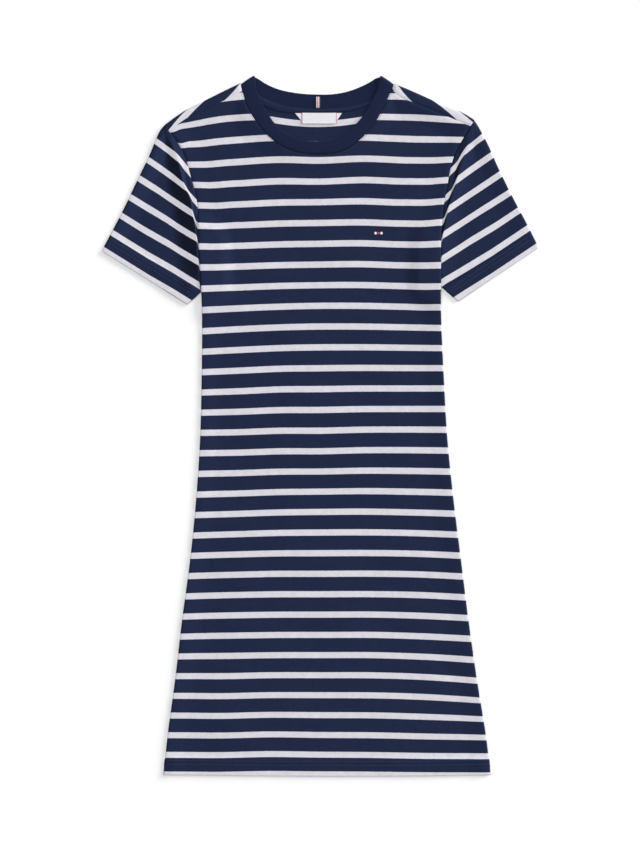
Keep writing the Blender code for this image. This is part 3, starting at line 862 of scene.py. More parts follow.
@dataclass(frozen=True)
class Thread:
    """Spun polyester sewing thread: a little shinier than the cloth, with its twist as fine ridges."""

    name: str
    colour: str
    twist: float = 0.5 * MM

    def material(self) -> Material:
        """The thread.

        Returns:
            The material.
        """
        shader = Shader(self.name)
        place = shader.add("ShaderNodeTexCoord").outputs["Object"]
        wave = shader.add("ShaderNodeTexWave", links={"Vector": place}, bands_direction="DIAGONAL",
                          values={"Scale": 0.32 / self.twist, "Distortion": 0.6, "Detail": 1.0})
        # painted shade: the thread is darker in the grooves of its twist and a little paler on its ridges
        tone = shader.remap(wave.outputs[1], 0.0, 1.0, 0.86, 1.08, "LINEAR")
        shader.colour(shader.tinted(linear(self.colour), tone))
        shader.bump(wave.outputs[1], 0.08 * MM, 0.5)
        shader.fixed(Roughness=0.55, IOR=1.5, Sheen_Weight=0.1)
        return shader.material


# --- making sheets ---
@dataclass
class Sheet:
    """Rows of places with their cloth coordinates, ready to be made a piece of cloth."""

    places: Array          # lines, columns, and x, y and z
    cloth: Array           # lines, columns, and across and along

    @classmethod
    def of_lines(cls, lines: Sequence[tuple]) -> "Sheet":
        """Put a sheet together line by line.

        Args:
            lines: for each line its places in plan, its heights, and its cloth coordinates across and along.

        Returns:
            The sheet.
        """
        places = [np.column_stack([flat, np.broadcast_to(height, len(flat))]) for flat, height, _, _ in lines]
        cloth = [np.column_stack([across, np.full(len(across), along)]) for _, _, across, along in lines]
        return cls(np.array(places), np.array(cloth))

    def piece(self, name: str, wall: float, material: Material, looks_up: bool = True,
              probe: tuple[int, int] = (1, 1), closed: bool = False) -> Piece:
        """Make the piece: a grid drawn over the places, with its wall laid inside.

        Args:
            name: the piece's name.
            wall: the thickness of the cloth, or 0 for a form that is already closed.
            material: its finish.
            looks_up: whether the skin at the probe faces up.
            probe: a line and a column.
            closed: whether the last column joins the first, and the last line the first where they meet.

        Returns:
            The piece. Places that are not a number are left out.
        """
        lines, columns = self.places.shape[:2]
        skin = bmesh.new()
        layer = skin.loops.layers.uv.new(UV_NAME)
        bmesh.ops.create_grid(skin, x_segments=columns - 1, y_segments=lines - 1, size=1.0)
        slots = {}
        spare = []
        for vert in skin.verts:
            slot = round((vert.co.y + 1) / 2 * (lines - 1)), round((vert.co.x + 1) / 2 * (columns - 1))
            place = self.places[slot]
            if np.isnan(place[0]):
                spare.append(vert)
            else:
                slots[vert] = slot
                vert.co = place
        bmesh.ops.delete(skin, geom=spare, context="VERTS")
        for face in skin.faces:
            for loop in face.loops:
                loop[layer].uv = self.cloth[slots[loop.vert]]
        if closed:
            bmesh.ops.remove_doubles(skin, verts=skin.verts, dist=MERGE)
        line, column = probe
        corner = Vector(self.places[line, column])
        beside, above = Vector(self.places[line, column + 1]), Vector(self.places[line + 1, column])
        normal = (beside - corner).cross(above - corner)
        if (normal.z > 0) != looks_up:
            bmesh.ops.reverse_faces(skin, faces=skin.faces)
        piece = finished(skin, name, material)
        if wall:
            cloth = piece.modifiers.new("wall", "SOLIDIFY")
            cloth.thickness = wall
            cloth.offset = -1.0
            cloth.use_even_offset = False
            cloth.use_quality_normals = True
        return piece


def finished(skin: bmesh.types.BMesh, name: str, material: Material) -> Piece:
    """Turn a bmesh into a smooth, finished object of the scene.

    Args:
        skin: the shape, which is freed.
        name: the object's name.
        material: its finish.

    Returns:
        The object.
    """
    mesh = bpy.data.meshes.new(name)
    skin.to_mesh(mesh)
    skin.free()
    mesh.shade_smooth()
    mesh.materials.append(material)
    piece = bpy.data.objects.new(name, mesh)
    bpy.context.scene.collection.objects.link(piece)
    return piece


def settle(piece: Piece, slot: str, *nodes: str) -> Piece:
    """Let a piece ride on the dress and stand for its nodes.

    Args:
        piece: the piece.
        slot: not used.
        nodes: the solids that it stands for.

    Returns:
        The same piece.
    """
    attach(piece, ROOT)
    if nodes:
        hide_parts(*nodes)
    LOG.info("%s: %d faces before its wall", piece.name, len(piece.data.polygons))
    return piece


def patch(top: Array, bottom: Array, left: Array, right: Array,
          evenly: float) -> Array:
    """Places between four edges, in lines from bottom to top.

    Args:
        top: the upper edge, from left to right.
        bottom: the lower edge, with as many places.
        left: the left edge, from bottom to top.
        right: the right edge, with as many places.
        evenly: the share of the length from which the sides' bulges move only the cloth near them.

    Returns:
        An array of lines, columns, x and y.
    """
    u = ((top[:, 0] - top[0, 0]) / (top[-1, 0] - top[0, 0]))[None, :, None]
    v = ((left[:, 1] - left[0, 1]) / (left[-1, 1] - left[0, 1]))[:, None, None]
    nearby = ease((v - evenly) / NEAR_SIDE)

    def pull(share: Array) -> Array:
        """How much a place at this share of the width follows the side at share 0."""
        return (1 - share) + (fade(share / NEAR_SIDE) - (1 - share)) * nearby

    span = bottom[None] * (1 - v) + top[None] * v
    bulge_left = left[:, None] - span[:, :1]
    bulge_right = right[:, None] - span[:, -1:]
    return span + bulge_left * pull(u) + bulge_right * pull(1 - u)


def rolled_stations(radius: float, steps: int) -> Array:
    """Distances in from an edge, spaced as on a quarter turn seen from above."""
    return radius * (1 - np.cos(np.linspace(0, math.pi / 2, steps + 1)))


def with_rolls(rows: Array, radii: tuple[float, float], steps: int) -> Array:
    """Give lines more places near both ends, for their rolled edges.

    Args:
        rows: the lines, in plan.
        radii: the radius of the roll at the start and at the end of a line.
        steps: how many places are added at each end.

    Returns:
        The lines with these places.
    """
    inward, outward = unit(rows[:, 1] - rows[:, 0]), unit(rows[:, -2] - rows[:, -1])
    first = rows[:, :1] + inward[:, None] * rolled_stations(radii[0], steps)[:, None]
    last = rows[:, -1:] + outward[:, None] * rolled_stations(radii[1], steps)[::-1, None]
    return np.concatenate([first, rows[:, 1:-1], last], axis=1)


def end_distances(rows: Array) -> tuple[Array, Array]:
    """The distance of every place from the start and from the end of its line."""
    return lengths(rows - rows[:, :1]), lengths(rows - rows[:, -1:])


# --- the body ---
@dataclass
class Body:
    """The front and the back of the dress, joined at the sides and at the forward shoulder seams."""

    pattern: Pattern
    lay: Lay
    stripes: Stripes
    swell: Swell
    cloth: Material
    skirt_lines: int = 118
    armhole_lines: int = 46
    shoulder_columns: int = 22
    neck_columns: int = 84
    roll_steps: int = 5
    turn_steps: int = 10            # lines round the fold of a shoulder, then down to its seam and past it
    flap_steps: int = 5
    past_steps: int = 2
    probe_line: int = 60
    hem_line: int = 8               # the line towards which the hem's inside goes up
    near_hem_lines: tuple = (1.0, 2.2, 4.0, 7.0, 11.0, 15.0, 18.0, 20.0, 22.0, 24.0, 27.0, 31.0)
    near_top_lines: tuple = (5.0, 3.4, 2.2, 1.4, 0.7)
    above_hem: float = 35 * MM      # where the even lines of the skirt begin, and how they crowd upwards
    crowding: float = 1.15
    below_top: float = 7 * MM
    evenly: float = 0.55            # the share of the height above which the sides bend only nearby lines
    rolled_from: float = 204.0      # the drop from which the sides are rolled edges, and its change
    rolled_over: float = 12.0
    inner_ramp: float = 9 * MM      # how far in from a rolled edge the cloth comes to full height
    allowance_shares: tuple = (0.4, 1.0)
    inside_depths: tuple = (20.0, 15.0, 10.0, 6.0, 3.0, 1.6)    # of the lines of the turned-up hem
    hem_turn: tuple = (-90, -60, -30, 0, 30, 60)                # degrees round its edge
    past_seam: float = 2 * MM       # how far a flap runs on below its neighbour, and how much deeper
    past_dip: float = 2.2
    creases: tuple = (
        Crease(-144.0, 222.0, -92.0, 330.0, 26.0, 0.7),
        Crease(146.0, 222.0, 112.0, 300.0, 22.0, 0.8),
        Crease(137.0, 732.0, 186.0, 790.0, 20.0, -0.9),
        Crease(-96.0, 640.0, -128.0, 880.0, 40.0, 0.5),
        Crease(24.0, 560.0, 36.0, 850.0, 50.0, 0.5),
        Crease(96.0, 420.0, 118.0, 640.0, 34.0, 0.45),
        Crease(-40.0, 300.0, -22.0, 520.0, 46.0, 0.4),
    )

    def shoulder(self, side: Side) -> tuple[Array, Array]:
        """The places of a shoulder's fold and of its seam, from the neck out."""
        paths = self.pattern.shoulder_fold(side), self.pattern.shoulder_seam(side)
        return paths[0].split(self.shoulder_columns), paths[1].split(self.shoulder_columns)

    def top_edge(self, layer: Layer) -> Array:
        """The upper edge of a panel, from the left armhole round the neck to the right one.

        Args:
            layer: the panel.

        Returns:
            Places in plan.
        """
        shoulders = []
        for side in Side:
            fold, seam = self.shoulder(side)
            turned = fold + unit(seam - fold) * self.lay.shoulder_fold
            shoulders.append(seam if layer is Layer.FRONT else turned)
        neck = self.pattern.neck_seam(layer).split(self.neck_columns)
        return np.concatenate([shoulders[0][::-1], neck[1:-1], shoulders[1]])

    def side_edge(self, side: Side, top: Array) -> Array:
        """One side from the hem to the shoulder, its places closer together where it bends.

        Args:
            side: the side.
            top: its last place.

        Returns:
            Places in plan.
        """
        lower, upper = self.pattern.side(side), self.pattern.armhole(side)
        near_hem = np.array(self.near_hem_lines) * MM
        rest = 1 - (1 - np.linspace(0, 1, self.skirt_lines)) ** self.crowding
        shares = np.concatenate([near_hem / lower.length, rest[rest > self.above_hem / lower.length]])
        near_top = 1 - np.array(self.near_top_lines) * MM / upper.length
        climb = np.linspace(0, 1 - self.below_top / upper.length, self.armhole_lines)
        skirt = lower.at(np.insert(shares, 0, 0.0))[:-1]
        return np.concatenate([skirt, upper.at(climb), upper.at(near_top), top[None]])

    def rows(self, layer: Layer) -> Array:
        """The places of a panel in plan, in lines from the hem up.

        Args:
            layer: the panel.

        Returns:
            An array of lines, columns, x and y.
        """
        top = self.top_edge(layer)
        left, right = self.side_edge(Side.LEFT, top[0]), self.side_edge(Side.RIGHT, top[-1])
        bottom = self.pattern.hem().at((top[:, 0] - top[0, 0]) / (top[-1, 0] - top[0, 0]))
        roll = self.lay.side_roll
        return with_rolls(patch(top, bottom, left, right, self.evenly), (roll, roll), self.roll_steps)

    def rolled(self, rows: Array) -> Array:
        """How far each line has a rolled edge: all of it at the side seam, none along the armhole."""
        drop = (TOP - rows[:, :1, 1]) / MM
        return ease((drop - self.rolled_from) / self.rolled_over)

    def near_hem(self, rows: Array) -> Array:
        """One where the hem is turned up, nothing above it."""
        above = rows[..., 1] - rows[:1, :, 1]
        return fade((above - self.lay.hem_depth + self.lay.hem_overlap) / self.lay.hem_step)

    def front_heights(self, rows: Array, top: Array) -> Array:
        """The height of the front's outer face: rolled sides, eased seams, the hem and the creases.

        Args:
            rows: the places of the front in plan.
            top: its upper edge.

        Returns:
            The height at every place.
        """
        lay = self.lay
        edge, rolled = np.minimum(*end_distances(rows)), self.rolled(rows)
        crest = (2 * lay.side_roll - lay.flat) * fade((edge - lay.side_roll) / lay.ease_width)
        roll = quarter(edge / lay.side_roll, lay.side_fullness)
        turned = lay.side_roll + (lay.flat + crest - lay.side_roll) * roll
        at_armhole = lay.over_armhole((TOP - rows[..., 1]) / MM)
        cut = lay.flat + (at_armhole - lay.flat) * fade(edge / lay.ease_width)
        over_side = cut + (turned - cut) * rolled - lay.flat
        near, marks = nearness(rows, top), marks_along(top)
        heights = lay.over_neck(top, lay.neck_front)
        ends = self.shoulder_columns + 1
        heights[:ends] = heights[-ends:] = 2 * lay.shoulder_fold
        at_top = np.interp(near.share, marks / marks[-1], heights)
        over_top = (at_top - lay.flat) * fade(near.distance / lay.ease_width)
        rise = np.where(over_side > 0, np.maximum(over_side, over_top), over_side + over_top)
        inner = ease((edge - lay.side_roll) / self.inner_ramp)
        seams = fade(near.distance / lay.ditch_width) + fade(edge / lay.ditch_width) * (1 - rolled)
        return (lay.lift(rows, self.pattern) + lay.flat + rise + lay.hem_rise * self.near_hem(rows) * inner
                + (creases_at(rows, self.creases) + self.swell.at(rows)) * inner
                - lay.ditch * np.clip(seams, 0, 1))

    def front(self) -> Piece:
        """The front panel.

        Returns:
            The piece.
        """
        rows, top = self.rows(Layer.FRONT), self.top_edge(Layer.FRONT)
        places = raised(rows, self.front_heights(rows, top))
        places, cloth = self.with_allowance(places, self.stripes.front(rows, self.pattern), top)
        places, cloth = self.with_hem(places, cloth, Layer.FRONT)
        probe = self.probe_line, places.shape[1] // 2
        piece = Sheet(places, cloth).piece("dress_front", self.lay.jersey, self.cloth, True, probe)
        settle(piece, "jersey", "front_panel")
        return piece

    def with_allowance(self, places: Array, cloth: Array, top: Array) -> tuple:
        """Add the seam allowance above the upper edge, pressed below the piece it is sewn to.

        Args:
            places: the places of the panel.
            cloth: their cloth coordinates.
            top: the upper edge in plan.

        Returns:
            Both with the lines of the allowance.
        """
        lay, normals = self.lay, outward_normals(top)
        pad = (places.shape[1] - len(top)) // 2
        normals = np.concatenate([np.repeat(normals[:1], pad, 0), normals, np.repeat(normals[-1:], pad, 0)])
        extra, extra_cloth = [], []
        for share in self.allowance_shares:
            line = places[-1].copy()
            line[:, :2] += normals * lay.allowance * share
            line[:, 2] -= lay.allowance_drop * share
            extra.append(line)
            extra_cloth.append(cloth[-1] + np.array([0.0, -lay.allowance * share]))
        return np.concatenate([places, extra]), np.concatenate([cloth, extra_cloth])

    def with_hem(self, places: Array, cloth: Array, layer: Layer) -> tuple:
        """Turn the hem up inside: the cloth rolls round the edge and goes back up.

        Args:
            places: the places of the panel.
            cloth: their cloth coordinates.
            layer: the panel.

        Returns:
            Both with the lines of the hem's inside before them.
        """
        lay = self.lay
        sign, middle = (1.0, lay.inside_front) if layer is Layer.FRONT else (-1.0, lay.inside_back)
        edge, skin = places[0].copy(), places[1, :, 2]
        radius = np.clip(sign * (skin - middle) / 2, lay.least_roll, lay.hem_roll)
        up = unit(places[self.hem_line, :, :2] - places[0, :, :2])
        lines, clothes = [], []

        def add(away: float | Array, height: Array, along: float) -> None:
            """Add a line at a distance up from the hem and at this height."""
            lines.append(np.column_stack([edge[:, :2] + up * np.reshape(away, (-1, 1)), height]))
            clothes.append(cloth[0] + np.array([0.0, along]))

        for depth in self.inside_depths:
            add(depth * MM, skin - sign * 2 * radius, depth * MM)
        for angle in np.radians(self.hem_turn):
            height = skin - sign * radius * (1 - math.sin(angle))
            add(radius * (1 - math.cos(angle)), height, -radius.mean() * angle)
        return np.concatenate([lines, places[1:]]), np.concatenate([clothes, cloth[1:]])

    def back(self) -> Piece:
        """The back panel, with a flap over each shoulder down to the shoulder seam on the front.

        Returns:
            The piece.
        """
        lay, rows = self.lay, self.rows(Layer.BACK)
        edge = np.minimum(*end_distances(rows))
        turned = lay.side_roll * (1 - quarter(edge / lay.side_roll, lay.side_fullness))
        places = raised(rows, lay.lift(rows, self.pattern) + turned * self.rolled(rows))
        flap, flap_cloth = self.flaps(places.shape[1])
        places, cloth = self.with_hem(places, self.stripes.back(rows), Layer.BACK)
        places, cloth = np.concatenate([places, flap]), np.concatenate([cloth, flap_cloth])
        probe = self.probe_line, places.shape[1] // 2
        piece = Sheet(places, cloth).piece("dress_back", lay.jersey, self.cloth, False, probe)
        settle(piece, "jersey", "back_panel")
        return piece

    def flaps(self, columns: int) -> tuple:
        """The lines of the back that turn over the shoulder folds and run on to the shoulder seams.

        Args:
            columns: how many places each line of the back has.

        Returns:
            Their places and cloth coordinates.
        """
        lines, clothes = [], []
        for step in range(1, self.turn_steps + self.flap_steps + self.past_steps + 1):
            sides, rows = zip(*(self.flap_side(side, step) for side in Side))
            lines.append(self.flap_line(sides, columns))
            clothes.append(self.flap_line(rows, columns))
        return np.array(lines), np.array(clothes)

    def flap_side(self, side: Side, step: int) -> tuple[Array, Array]:
        """One line of a flap, from the neck out.

        Args:
            side: the side.
            step: which line, counted from the fold.

        Returns:
            Its places and cloth coordinates.
        """
        lay, turn = self.lay, self.turn_steps
        fold, seam = self.shoulder(side)
        reach = lengths(seam - fold)
        if step <= turn:
            angle = math.pi * step / turn
            away = np.full_like(reach, lay.shoulder_fold * (1 - math.sin(angle)))
            height = np.full_like(reach, lay.shoulder_fold * (1 - math.cos(angle)))
        else:
            away = lay.shoulder_fold + (reach - lay.shoulder_fold) * min((step - turn) / self.flap_steps, 1.0)
            dip = fade((reach - away) / lay.ditch_width)
            if step > turn + self.flap_steps:
                away, dip = away + self.past_seam, dip * self.past_dip
            height = 2 * lay.shoulder_fold - lay.ditch * dip
        place = raised(fold + unit(seam - fold) * away[:, None], height)
        at_fold, at_seam = (np.interp(np.abs(line[:, 0]) / MM, *zip(*rows))
                            for line, rows in zip((fold, seam), self.stripes.flaps[side]))
        share = np.clip(away / reach, 0, 1) * (step > turn // 2)
        row = (at_fold + (at_seam - at_fold) * share - self.stripes.first_back) * MM
        return place, np.stack([place[:, 0], row], axis=1)

    def flap_line(self, sides: Sequence[Array], columns: int) -> Array:
        """Lay one line of both flaps on the columns of the back, with nothing between them.

        Args:
            sides: the line on the left and on the right, from the neck out.
            columns: how many places each line of the back has.

        Returns:
            The whole line.
        """
        left, right = sides[0][::-1], sides[1]
        marks = rolled_stations(self.lay.side_roll, self.roll_steps)

        def rolled(edge: Array, towards: Array) -> Array:
            """The edge place and those close in from it."""
            step = (towards - edge) / np.linalg.norm((towards - edge)[:2])
            return edge + step * marks[:, None]

        first, last = rolled(left[0], left[1]), rolled(right[-1], right[-2])[::-1]
        ends = len(first) + len(left) - 1
        middle = np.full((columns - 2 * ends, left.shape[1]), np.nan)
        return np.concatenate([first, left[1:], middle, right[:-1], last])


# --- the sleeves ---
@dataclass(frozen=True)
class SleeveLay:
    """How one sleeve lies: the fold beside its armhole and the run of its stripes."""

    crests: tuple
    bends: tuple
    first_stripe: float
    spacing: float              # of the stripes as they lie
    gentle: float               # how much the stripes lean between crest and seam, over and above their slip
    painted_slope_shade: float                  # how strongly its jersey's navy is given painted shade and painted highlight by its slope


SLEEVE_LAYS = {
    Side.LEFT: SleeveLay(
        crests=(
            Crest(-193.0, 84.0, 0.6, 14.0, 7.0, 0.0), Crest(-185.6, 101.6, 2.3, 17.0, 9.0, 0.0),
            Crest(-173.8, 142.7, 4.4, 25.0, 2.8, 4.0), Crest(-167.3, 158.0, 5.0, 27.0, 2.4, 6.5),
            Crest(-163.0, 182.0, 5.2, 29.0, 2.4, 8.5), Crest(-158.5, 212.0, 4.6, 30.0, 2.4, 8.5),
            Crest(-155.0, 262.0, 3.2, 30.0, 2.4, 8.0),
        ),
        bends=(
            Bend(3.0, -2.4, -2.4, -2.4, -2.4, -1.1), Bend(28.0, -1.4, -1.3, -1.3, -1.3, 0.2),
            Bend(53.0, -0.4, -0.2, 0.1, -0.2, 1.4), Bend(79.0, 1.0, 1.4, 1.3, 0.5, 1.1),
            Bend(105.0, 2.8, 2.4, 1.7, 0.6, 0.5), Bend(131.0, 4.7, 2.6, 1.3, 0.4, 0.5),
            Bend(157.0, 2.9, 1.2, 0.3, 0.0, 0.0), Bend(172.0, 0.0, 0.0, 0.0, 0.0, 0.0),
            Bend(181.0, -10.0, -10.0, -10.0, -10.0, -10.0),
        ),
        first_stripe=1.2, spacing=26.0, gentle=0.45, painted_slope_shade=4.0),
    Side.RIGHT: SleeveLay(
        crests=(
            Crest(197.0, 76.0, 0.6, 14.0, 12.0, 0.0), Crest(192.6, 84.0, 1.2, 18.0, 12.0, 7.0),
            Crest(182.5, 112.0, 2.2, 19.0, 8.0, 8.0), Crest(176.0, 133.7, 2.6, 20.0, 4.0, 9.5),
            Crest(165.0, 171.0, 2.6, 22.0, 3.2, 9.5), Crest(157.5, 212.0, 2.0, 24.0, 3.0, 9.0),
            Crest(155.5, 262.0, 1.2, 24.0, 3.0, 8.0),
        ),
        bends=(
            Bend(3.0, -2.5, -2.5, -2.2, -1.5, -0.4), Bend(29.0, -4.0, -3.5, -2.7, -1.9, -0.4),
            Bend(55.0, -2.5, -2.4, -2.1, -1.9, 0.1), Bend(81.0, -1.5, -1.3, -1.0, -0.8, 0.5),
            Bend(107.0, 0.8, 0.5, 0.4, 0.5, 0.4), Bend(133.0, 1.7, 0.8, 0.3, 0.0, 0.0),
            Bend(159.0, 2.2, 0.0, -0.3, -0.3, -0.3), Bend(173.0, 0.0, 0.0, 0.0, 0.0, 0.0),
            Bend(182.0, -10.0, -10.0, -10.0, -10.0, -10.0),
        ),
        first_stripe=1.65, spacing=26.1, gentle=0.27, painted_slope_shade=1.3),
}


@dataclass
class Sleeve:
    """One sleeve: a flattened tube from the armhole to the hem, with its inner corner tucked away."""

    side: Side
    pattern: Pattern
    lay: Lay
    stripes: Stripes
    swell: Swell
    bend_marks: tuple = (2.0, 10.0, 21.0, 35.0, 65.0)   # how far outside the crest each column of bends lies
    tip: float = 158.0          # above this distance from the hem the lean of the stripes dies out
    tip_fade: float = 14.0
    run_out: float = 0.6        # how full the outer flank of the fold is
    fold: float = 2.2 * MM
    fold_taper: float = 80 * MM
    tuck_fold: float = 1.6 * MM
    tuck_bend: float = 0.45     # how far towards its end the tuck bends
    tuck_start: int = 6
    tuck_bulge: float = 3.0 * MM
    seam_gap: float = 0.3 * MM
    crest_seam: float = 16 * MM     # how far from the underarm and the upper fold the crest is at full height
    crest_fold: float = 14 * MM
    hem_height: float = 4.2 * MM
    hem_ramp: float = 4 * MM
    seam_columns: int = 76
    tuck_columns: int = 20
    roll_steps: int = 5
    outer_lines: int = 54
    near_lines: int = 34
    near_share: float = 0.17        # the share of the length that the near lines take up
    probe: tuple = (40, 11)
    near_hem_lines: tuple = (22.0, 20.0, 18.0, 15.0, 11.0, 7.0, 4.0, 2.2, 1.2, 0.0)
    hem_line: int = -6              # the line towards which the hem's inside goes up
    hem_turn: tuple = (30, 60, 90, 120, 150, 180)
    inside_depths: tuple = (3.0, 8.0, 14.0, 20.0)

    def armhole_edge(self) -> Array:
        """The edge of the sleeve from its upper fold along the armhole seam to its tucked end.

        Returns:
            Places in plan.
        """
        inwards = np.array([-self.side.sign, 0.0])
        seam = self.pattern.armhole(self.side).split(self.seam_columns)[::-1] + inwards * self.seam_gap
        start = self.pattern.sleeve_top(self.side).at(np.array([0.0]))
        end = self.pattern.underarm(self.side).at(np.array([0.0]))
        bend = seam[-1:] * (1 - self.tuck_bend) + end * self.tuck_bend + inwards * self.tuck_bulge
        first = seam[-self.tuck_start:1 - self.tuck_start]
        tuck = Path(np.concatenate([first, seam[-1:], bend, end])).split(self.tuck_columns)
        hidden = tuck[nearness(tuck, seam).share >= 1.0 - 1e-9]
        return np.concatenate([start, seam, hidden[1:]])

    def rows(self) -> Array:
        """The places of the sleeve's upper layer in plan: lines run along the armhole, then to the hem.

        Returns:
            An array of lines, columns, x and y.
        """
        edge = self.armhole_edge()
        top, under = self.pattern.sleeve_top(self.side), self.pattern.underarm(self.side)
        reach, last = marks_along(edge), np.array(self.near_hem_lines) * MM / top.length
        u = (reach / reach[-1])[None, :, None]
        near = np.linspace(0, self.near_share, self.near_lines, endpoint=False)
        far = np.linspace(self.near_share, 1 - last[0], self.outer_lines, endpoint=False)
        v = np.concatenate([near, far, 1 - last])
        hem = top.at(np.array([1.0])) * (1 - u[0]) + under.at(np.array([1.0])) * u[0]
        outer, inner = top.at(v)[:, None], under.at(v)[:, None]
        v = v[:, None, None]
        corners = (edge[0] * (1 - u) + edge[-1] * u) * (1 - v) + (hem[0] * (1 - u) + hem[-1] * u) * v
        rows = edge[None] * (1 - v) + hem[None] * v + outer * (1 - u) + inner * u - corners
        return with_rolls(rows, (self.lay.shoulder_fold, self.tuck_fold), self.roll_steps)

    def over_crest(self, rows: Array) -> tuple[Array, Array, Array]:
        """How the fold beside the armhole acts on the sleeve.

        Args:
            rows: the places of the sleeve in plan.

        Returns:
            Its rise, the distance inside its crest (negative outside) and how far the stripes slip over it.
        """
        crests = SLEEVE_LAYS[self.side].crests
        crest = Path(plan(crests)).places
        near, knots = nearness(rows, crest), nearness(plan(crests), crest).share
        height, run, face, slip = (np.interp(near.share, knots, [getattr(c, name) for c in crests]) * MM
                                   for name in ("height", "run", "face", "slip"))
        inside = near.side * self.side.sign < 0
        away = np.where(inside, near.distance, -near.distance)
        out = np.clip(-away / run, 0, 1)
        outer = (1 - out) ** 2 * (1 + self.run_out * out)
        return height * np.where(away > 0, fade(away / face), outer), away, slip * ease(away / face)

    def heights(self, rows: Array) -> tuple[Array, Array]:
        """The heights of the upper and the lower layer.

        Args:
            rows: the places of the sleeve in plan.

        Returns:
            Both heights at every place.
        """
        lay, top, hem = self.lay, self.pattern.sleeve_top(self.side), rows[-1]
        from_hem = nearness(rows, np.stack([hem[0], hem[-1]])).distance
        down = np.linspace(0, 1, len(rows))[:, None]
        along_fold = nearness(rows[:, :1], top.places).share * top.length
        fold = self.fold + (lay.shoulder_fold - self.fold) * fade(along_fold / self.fold_taper)
        from_fold, from_seam = end_distances(rows)
        seam = self.armhole_edge()[1:self.seam_columns + 2]
        near = nearness(rows, seam)
        above_hem = fade((from_hem - lay.hem_depth) / self.hem_ramp)
        flat = 2 * self.tuck_fold + (self.hem_height - 2 * self.tuck_fold) * above_hem
        over_fold = (2 * fold - flat) * fade((from_fold - fold) / lay.ease_width)
        seam_height = lay.over_armhole((TOP - (seam[0, 1] + (seam[-1, 1] - seam[0, 1]) * near.share)) / MM)
        over_seam = (seam_height - flat) * fade(near.distance / lay.ease_width)
        inner = ease(from_seam / self.crest_seam) * ease(from_fold / self.crest_fold)
        crest = self.over_crest(rows)[0] * inner
        surface = flat + np.maximum(over_fold, over_seam) + crest + self.swell.at(rows) * down
        surface -= lay.ditch * fade(near.distance / lay.ditch_width)
        by_fold = from_fold < from_seam
        middle = np.where(by_fold, fold, self.tuck_fold)
        round_off = np.where(by_fold, quarter(from_fold / fold), quarter(from_seam / self.tuck_fold))
        return middle + (surface - middle) * round_off, middle * (1 - round_off)

    def coordinates(self, rows: Array) -> Array:
        """The cloth coordinates: the second follows the distance from the hem, bent beside the crest.

        Args:
            rows: the places of the sleeve in plan.

        Returns:
            For each place, across and along the cloth.
        """
        lie, hem_start = SLEEVE_LAYS[self.side], rows[-1, 0]
        along = unit(rows[-1, -1] - hem_start)
        square = np.array([along[1], -along[0]])
        square = square if square[1] > 0 else -square
        _, away, slip = self.over_crest(rows)
        from_hem = (rows - hem_start) @ square / MM
        table, marks = np.array(lie.bends), np.array(self.bend_marks)
        outside = np.clip(-away / MM, marks[0], marks[-1]).ravel()
        at_rows = np.stack([np.interp(outside, marks, row[1:]) for row in table])
        bend = hermite(from_hem.ravel(), table[:, 0], at_rows).reshape(from_hem.shape)
        lean = (slip + lie.gentle * np.clip(away, 0, None)) / MM
        inside = lean * fade((from_hem - self.tip) / self.tip_fade)
        up = (from_hem + bend + inside - lie.first_stripe) * self.stripes.repeat / lie.spacing
        return np.stack([(rows - hem_start) @ along, up], axis=-1)

    def build(self) -> Piece:
        """The sleeve, with its hem turned in.

        Returns:
            The piece.
        """
        name, rows = self.side.value, self.rows()
        upper, lower = self.heights(rows)
        cloth = self.coordinates(rows)
        front, back = raised(rows, upper), raised(rows, lower)
        places = np.concatenate([front, back[:, -2:0:-1], front[:, :1]], axis=1)
        turned = cloth * np.array([-1.0, 1.0]) + np.array([2 * cloth[..., 0].max(), 0.0])
        cloth = np.concatenate([cloth, turned[:, -2:0:-1], turned[:, :1]], axis=1)
        # painted shade and painted highlight on the navy: far stronger on the left sleeve than on the right
        painted_slope_shade = SLEEVE_LAYS[self.side].painted_slope_shade
        jersey = Jersey(f"striped_cotton_jersey_{name}_sleeve", painted_slope_shade=painted_slope_shade).material(self.stripes)
        tube = Sheet(*self.with_hem(places, cloth))
        piece = tube.piece(f"{name}_sleeve", self.lay.jersey, jersey, True, self.probe, closed=True)
        settle(piece, "jersey", f"sleeve_{name}")
        return piece

    def with_hem(self, places: Array, cloth: Array) -> tuple:
        """Turn the hem in: the tube rolls round its edge and goes back up inside itself.

        Args:
            places: the places of the tube.
            cloth: their cloth coordinates.

        Returns:
            Both with the lines of the hem's inside after them.
        """
        roll, last, half = self.lay.hem_roll, places[-1], self.hem_height / 2
        up = unit(places[self.hem_line, :, :2] - last[:, :2])
        inner_z = half + (last[:, 2] - half) * (1 - 2 * roll / half)
        edge_share = 1 - np.abs(last[:, 2] - half) / half
        inwards = unit(last[:, :2].mean(0) - last[:, :2])
        inset = inwards * 2 * roll * np.clip(edge_share, 0, 1)[:, None]
        lines, clothes = [], []
        for angle in np.radians(self.hem_turn):
            share = (1 - math.cos(angle)) / 2
            flat = last[:, :2] + (inset * share - up * roll * (math.sin(angle) - 1))
            lines.append(np.column_stack([flat, last[:, 2] + (inner_z - last[:, 2]) * share]))
            clothes.append(cloth[-1] + np.array([0.0, -roll * angle]))
        for depth in self.inside_depths:
            lines.append(np.column_stack([last[:, :2] + (inset + up * depth * MM), inner_z]))
            clothes.append(cloth[-1] + np.array([0.0, -roll * math.pi - depth * MM]))
        return np.concatenate([places[:-1], lines]), np.concatenate([cloth[:-1], clothes])


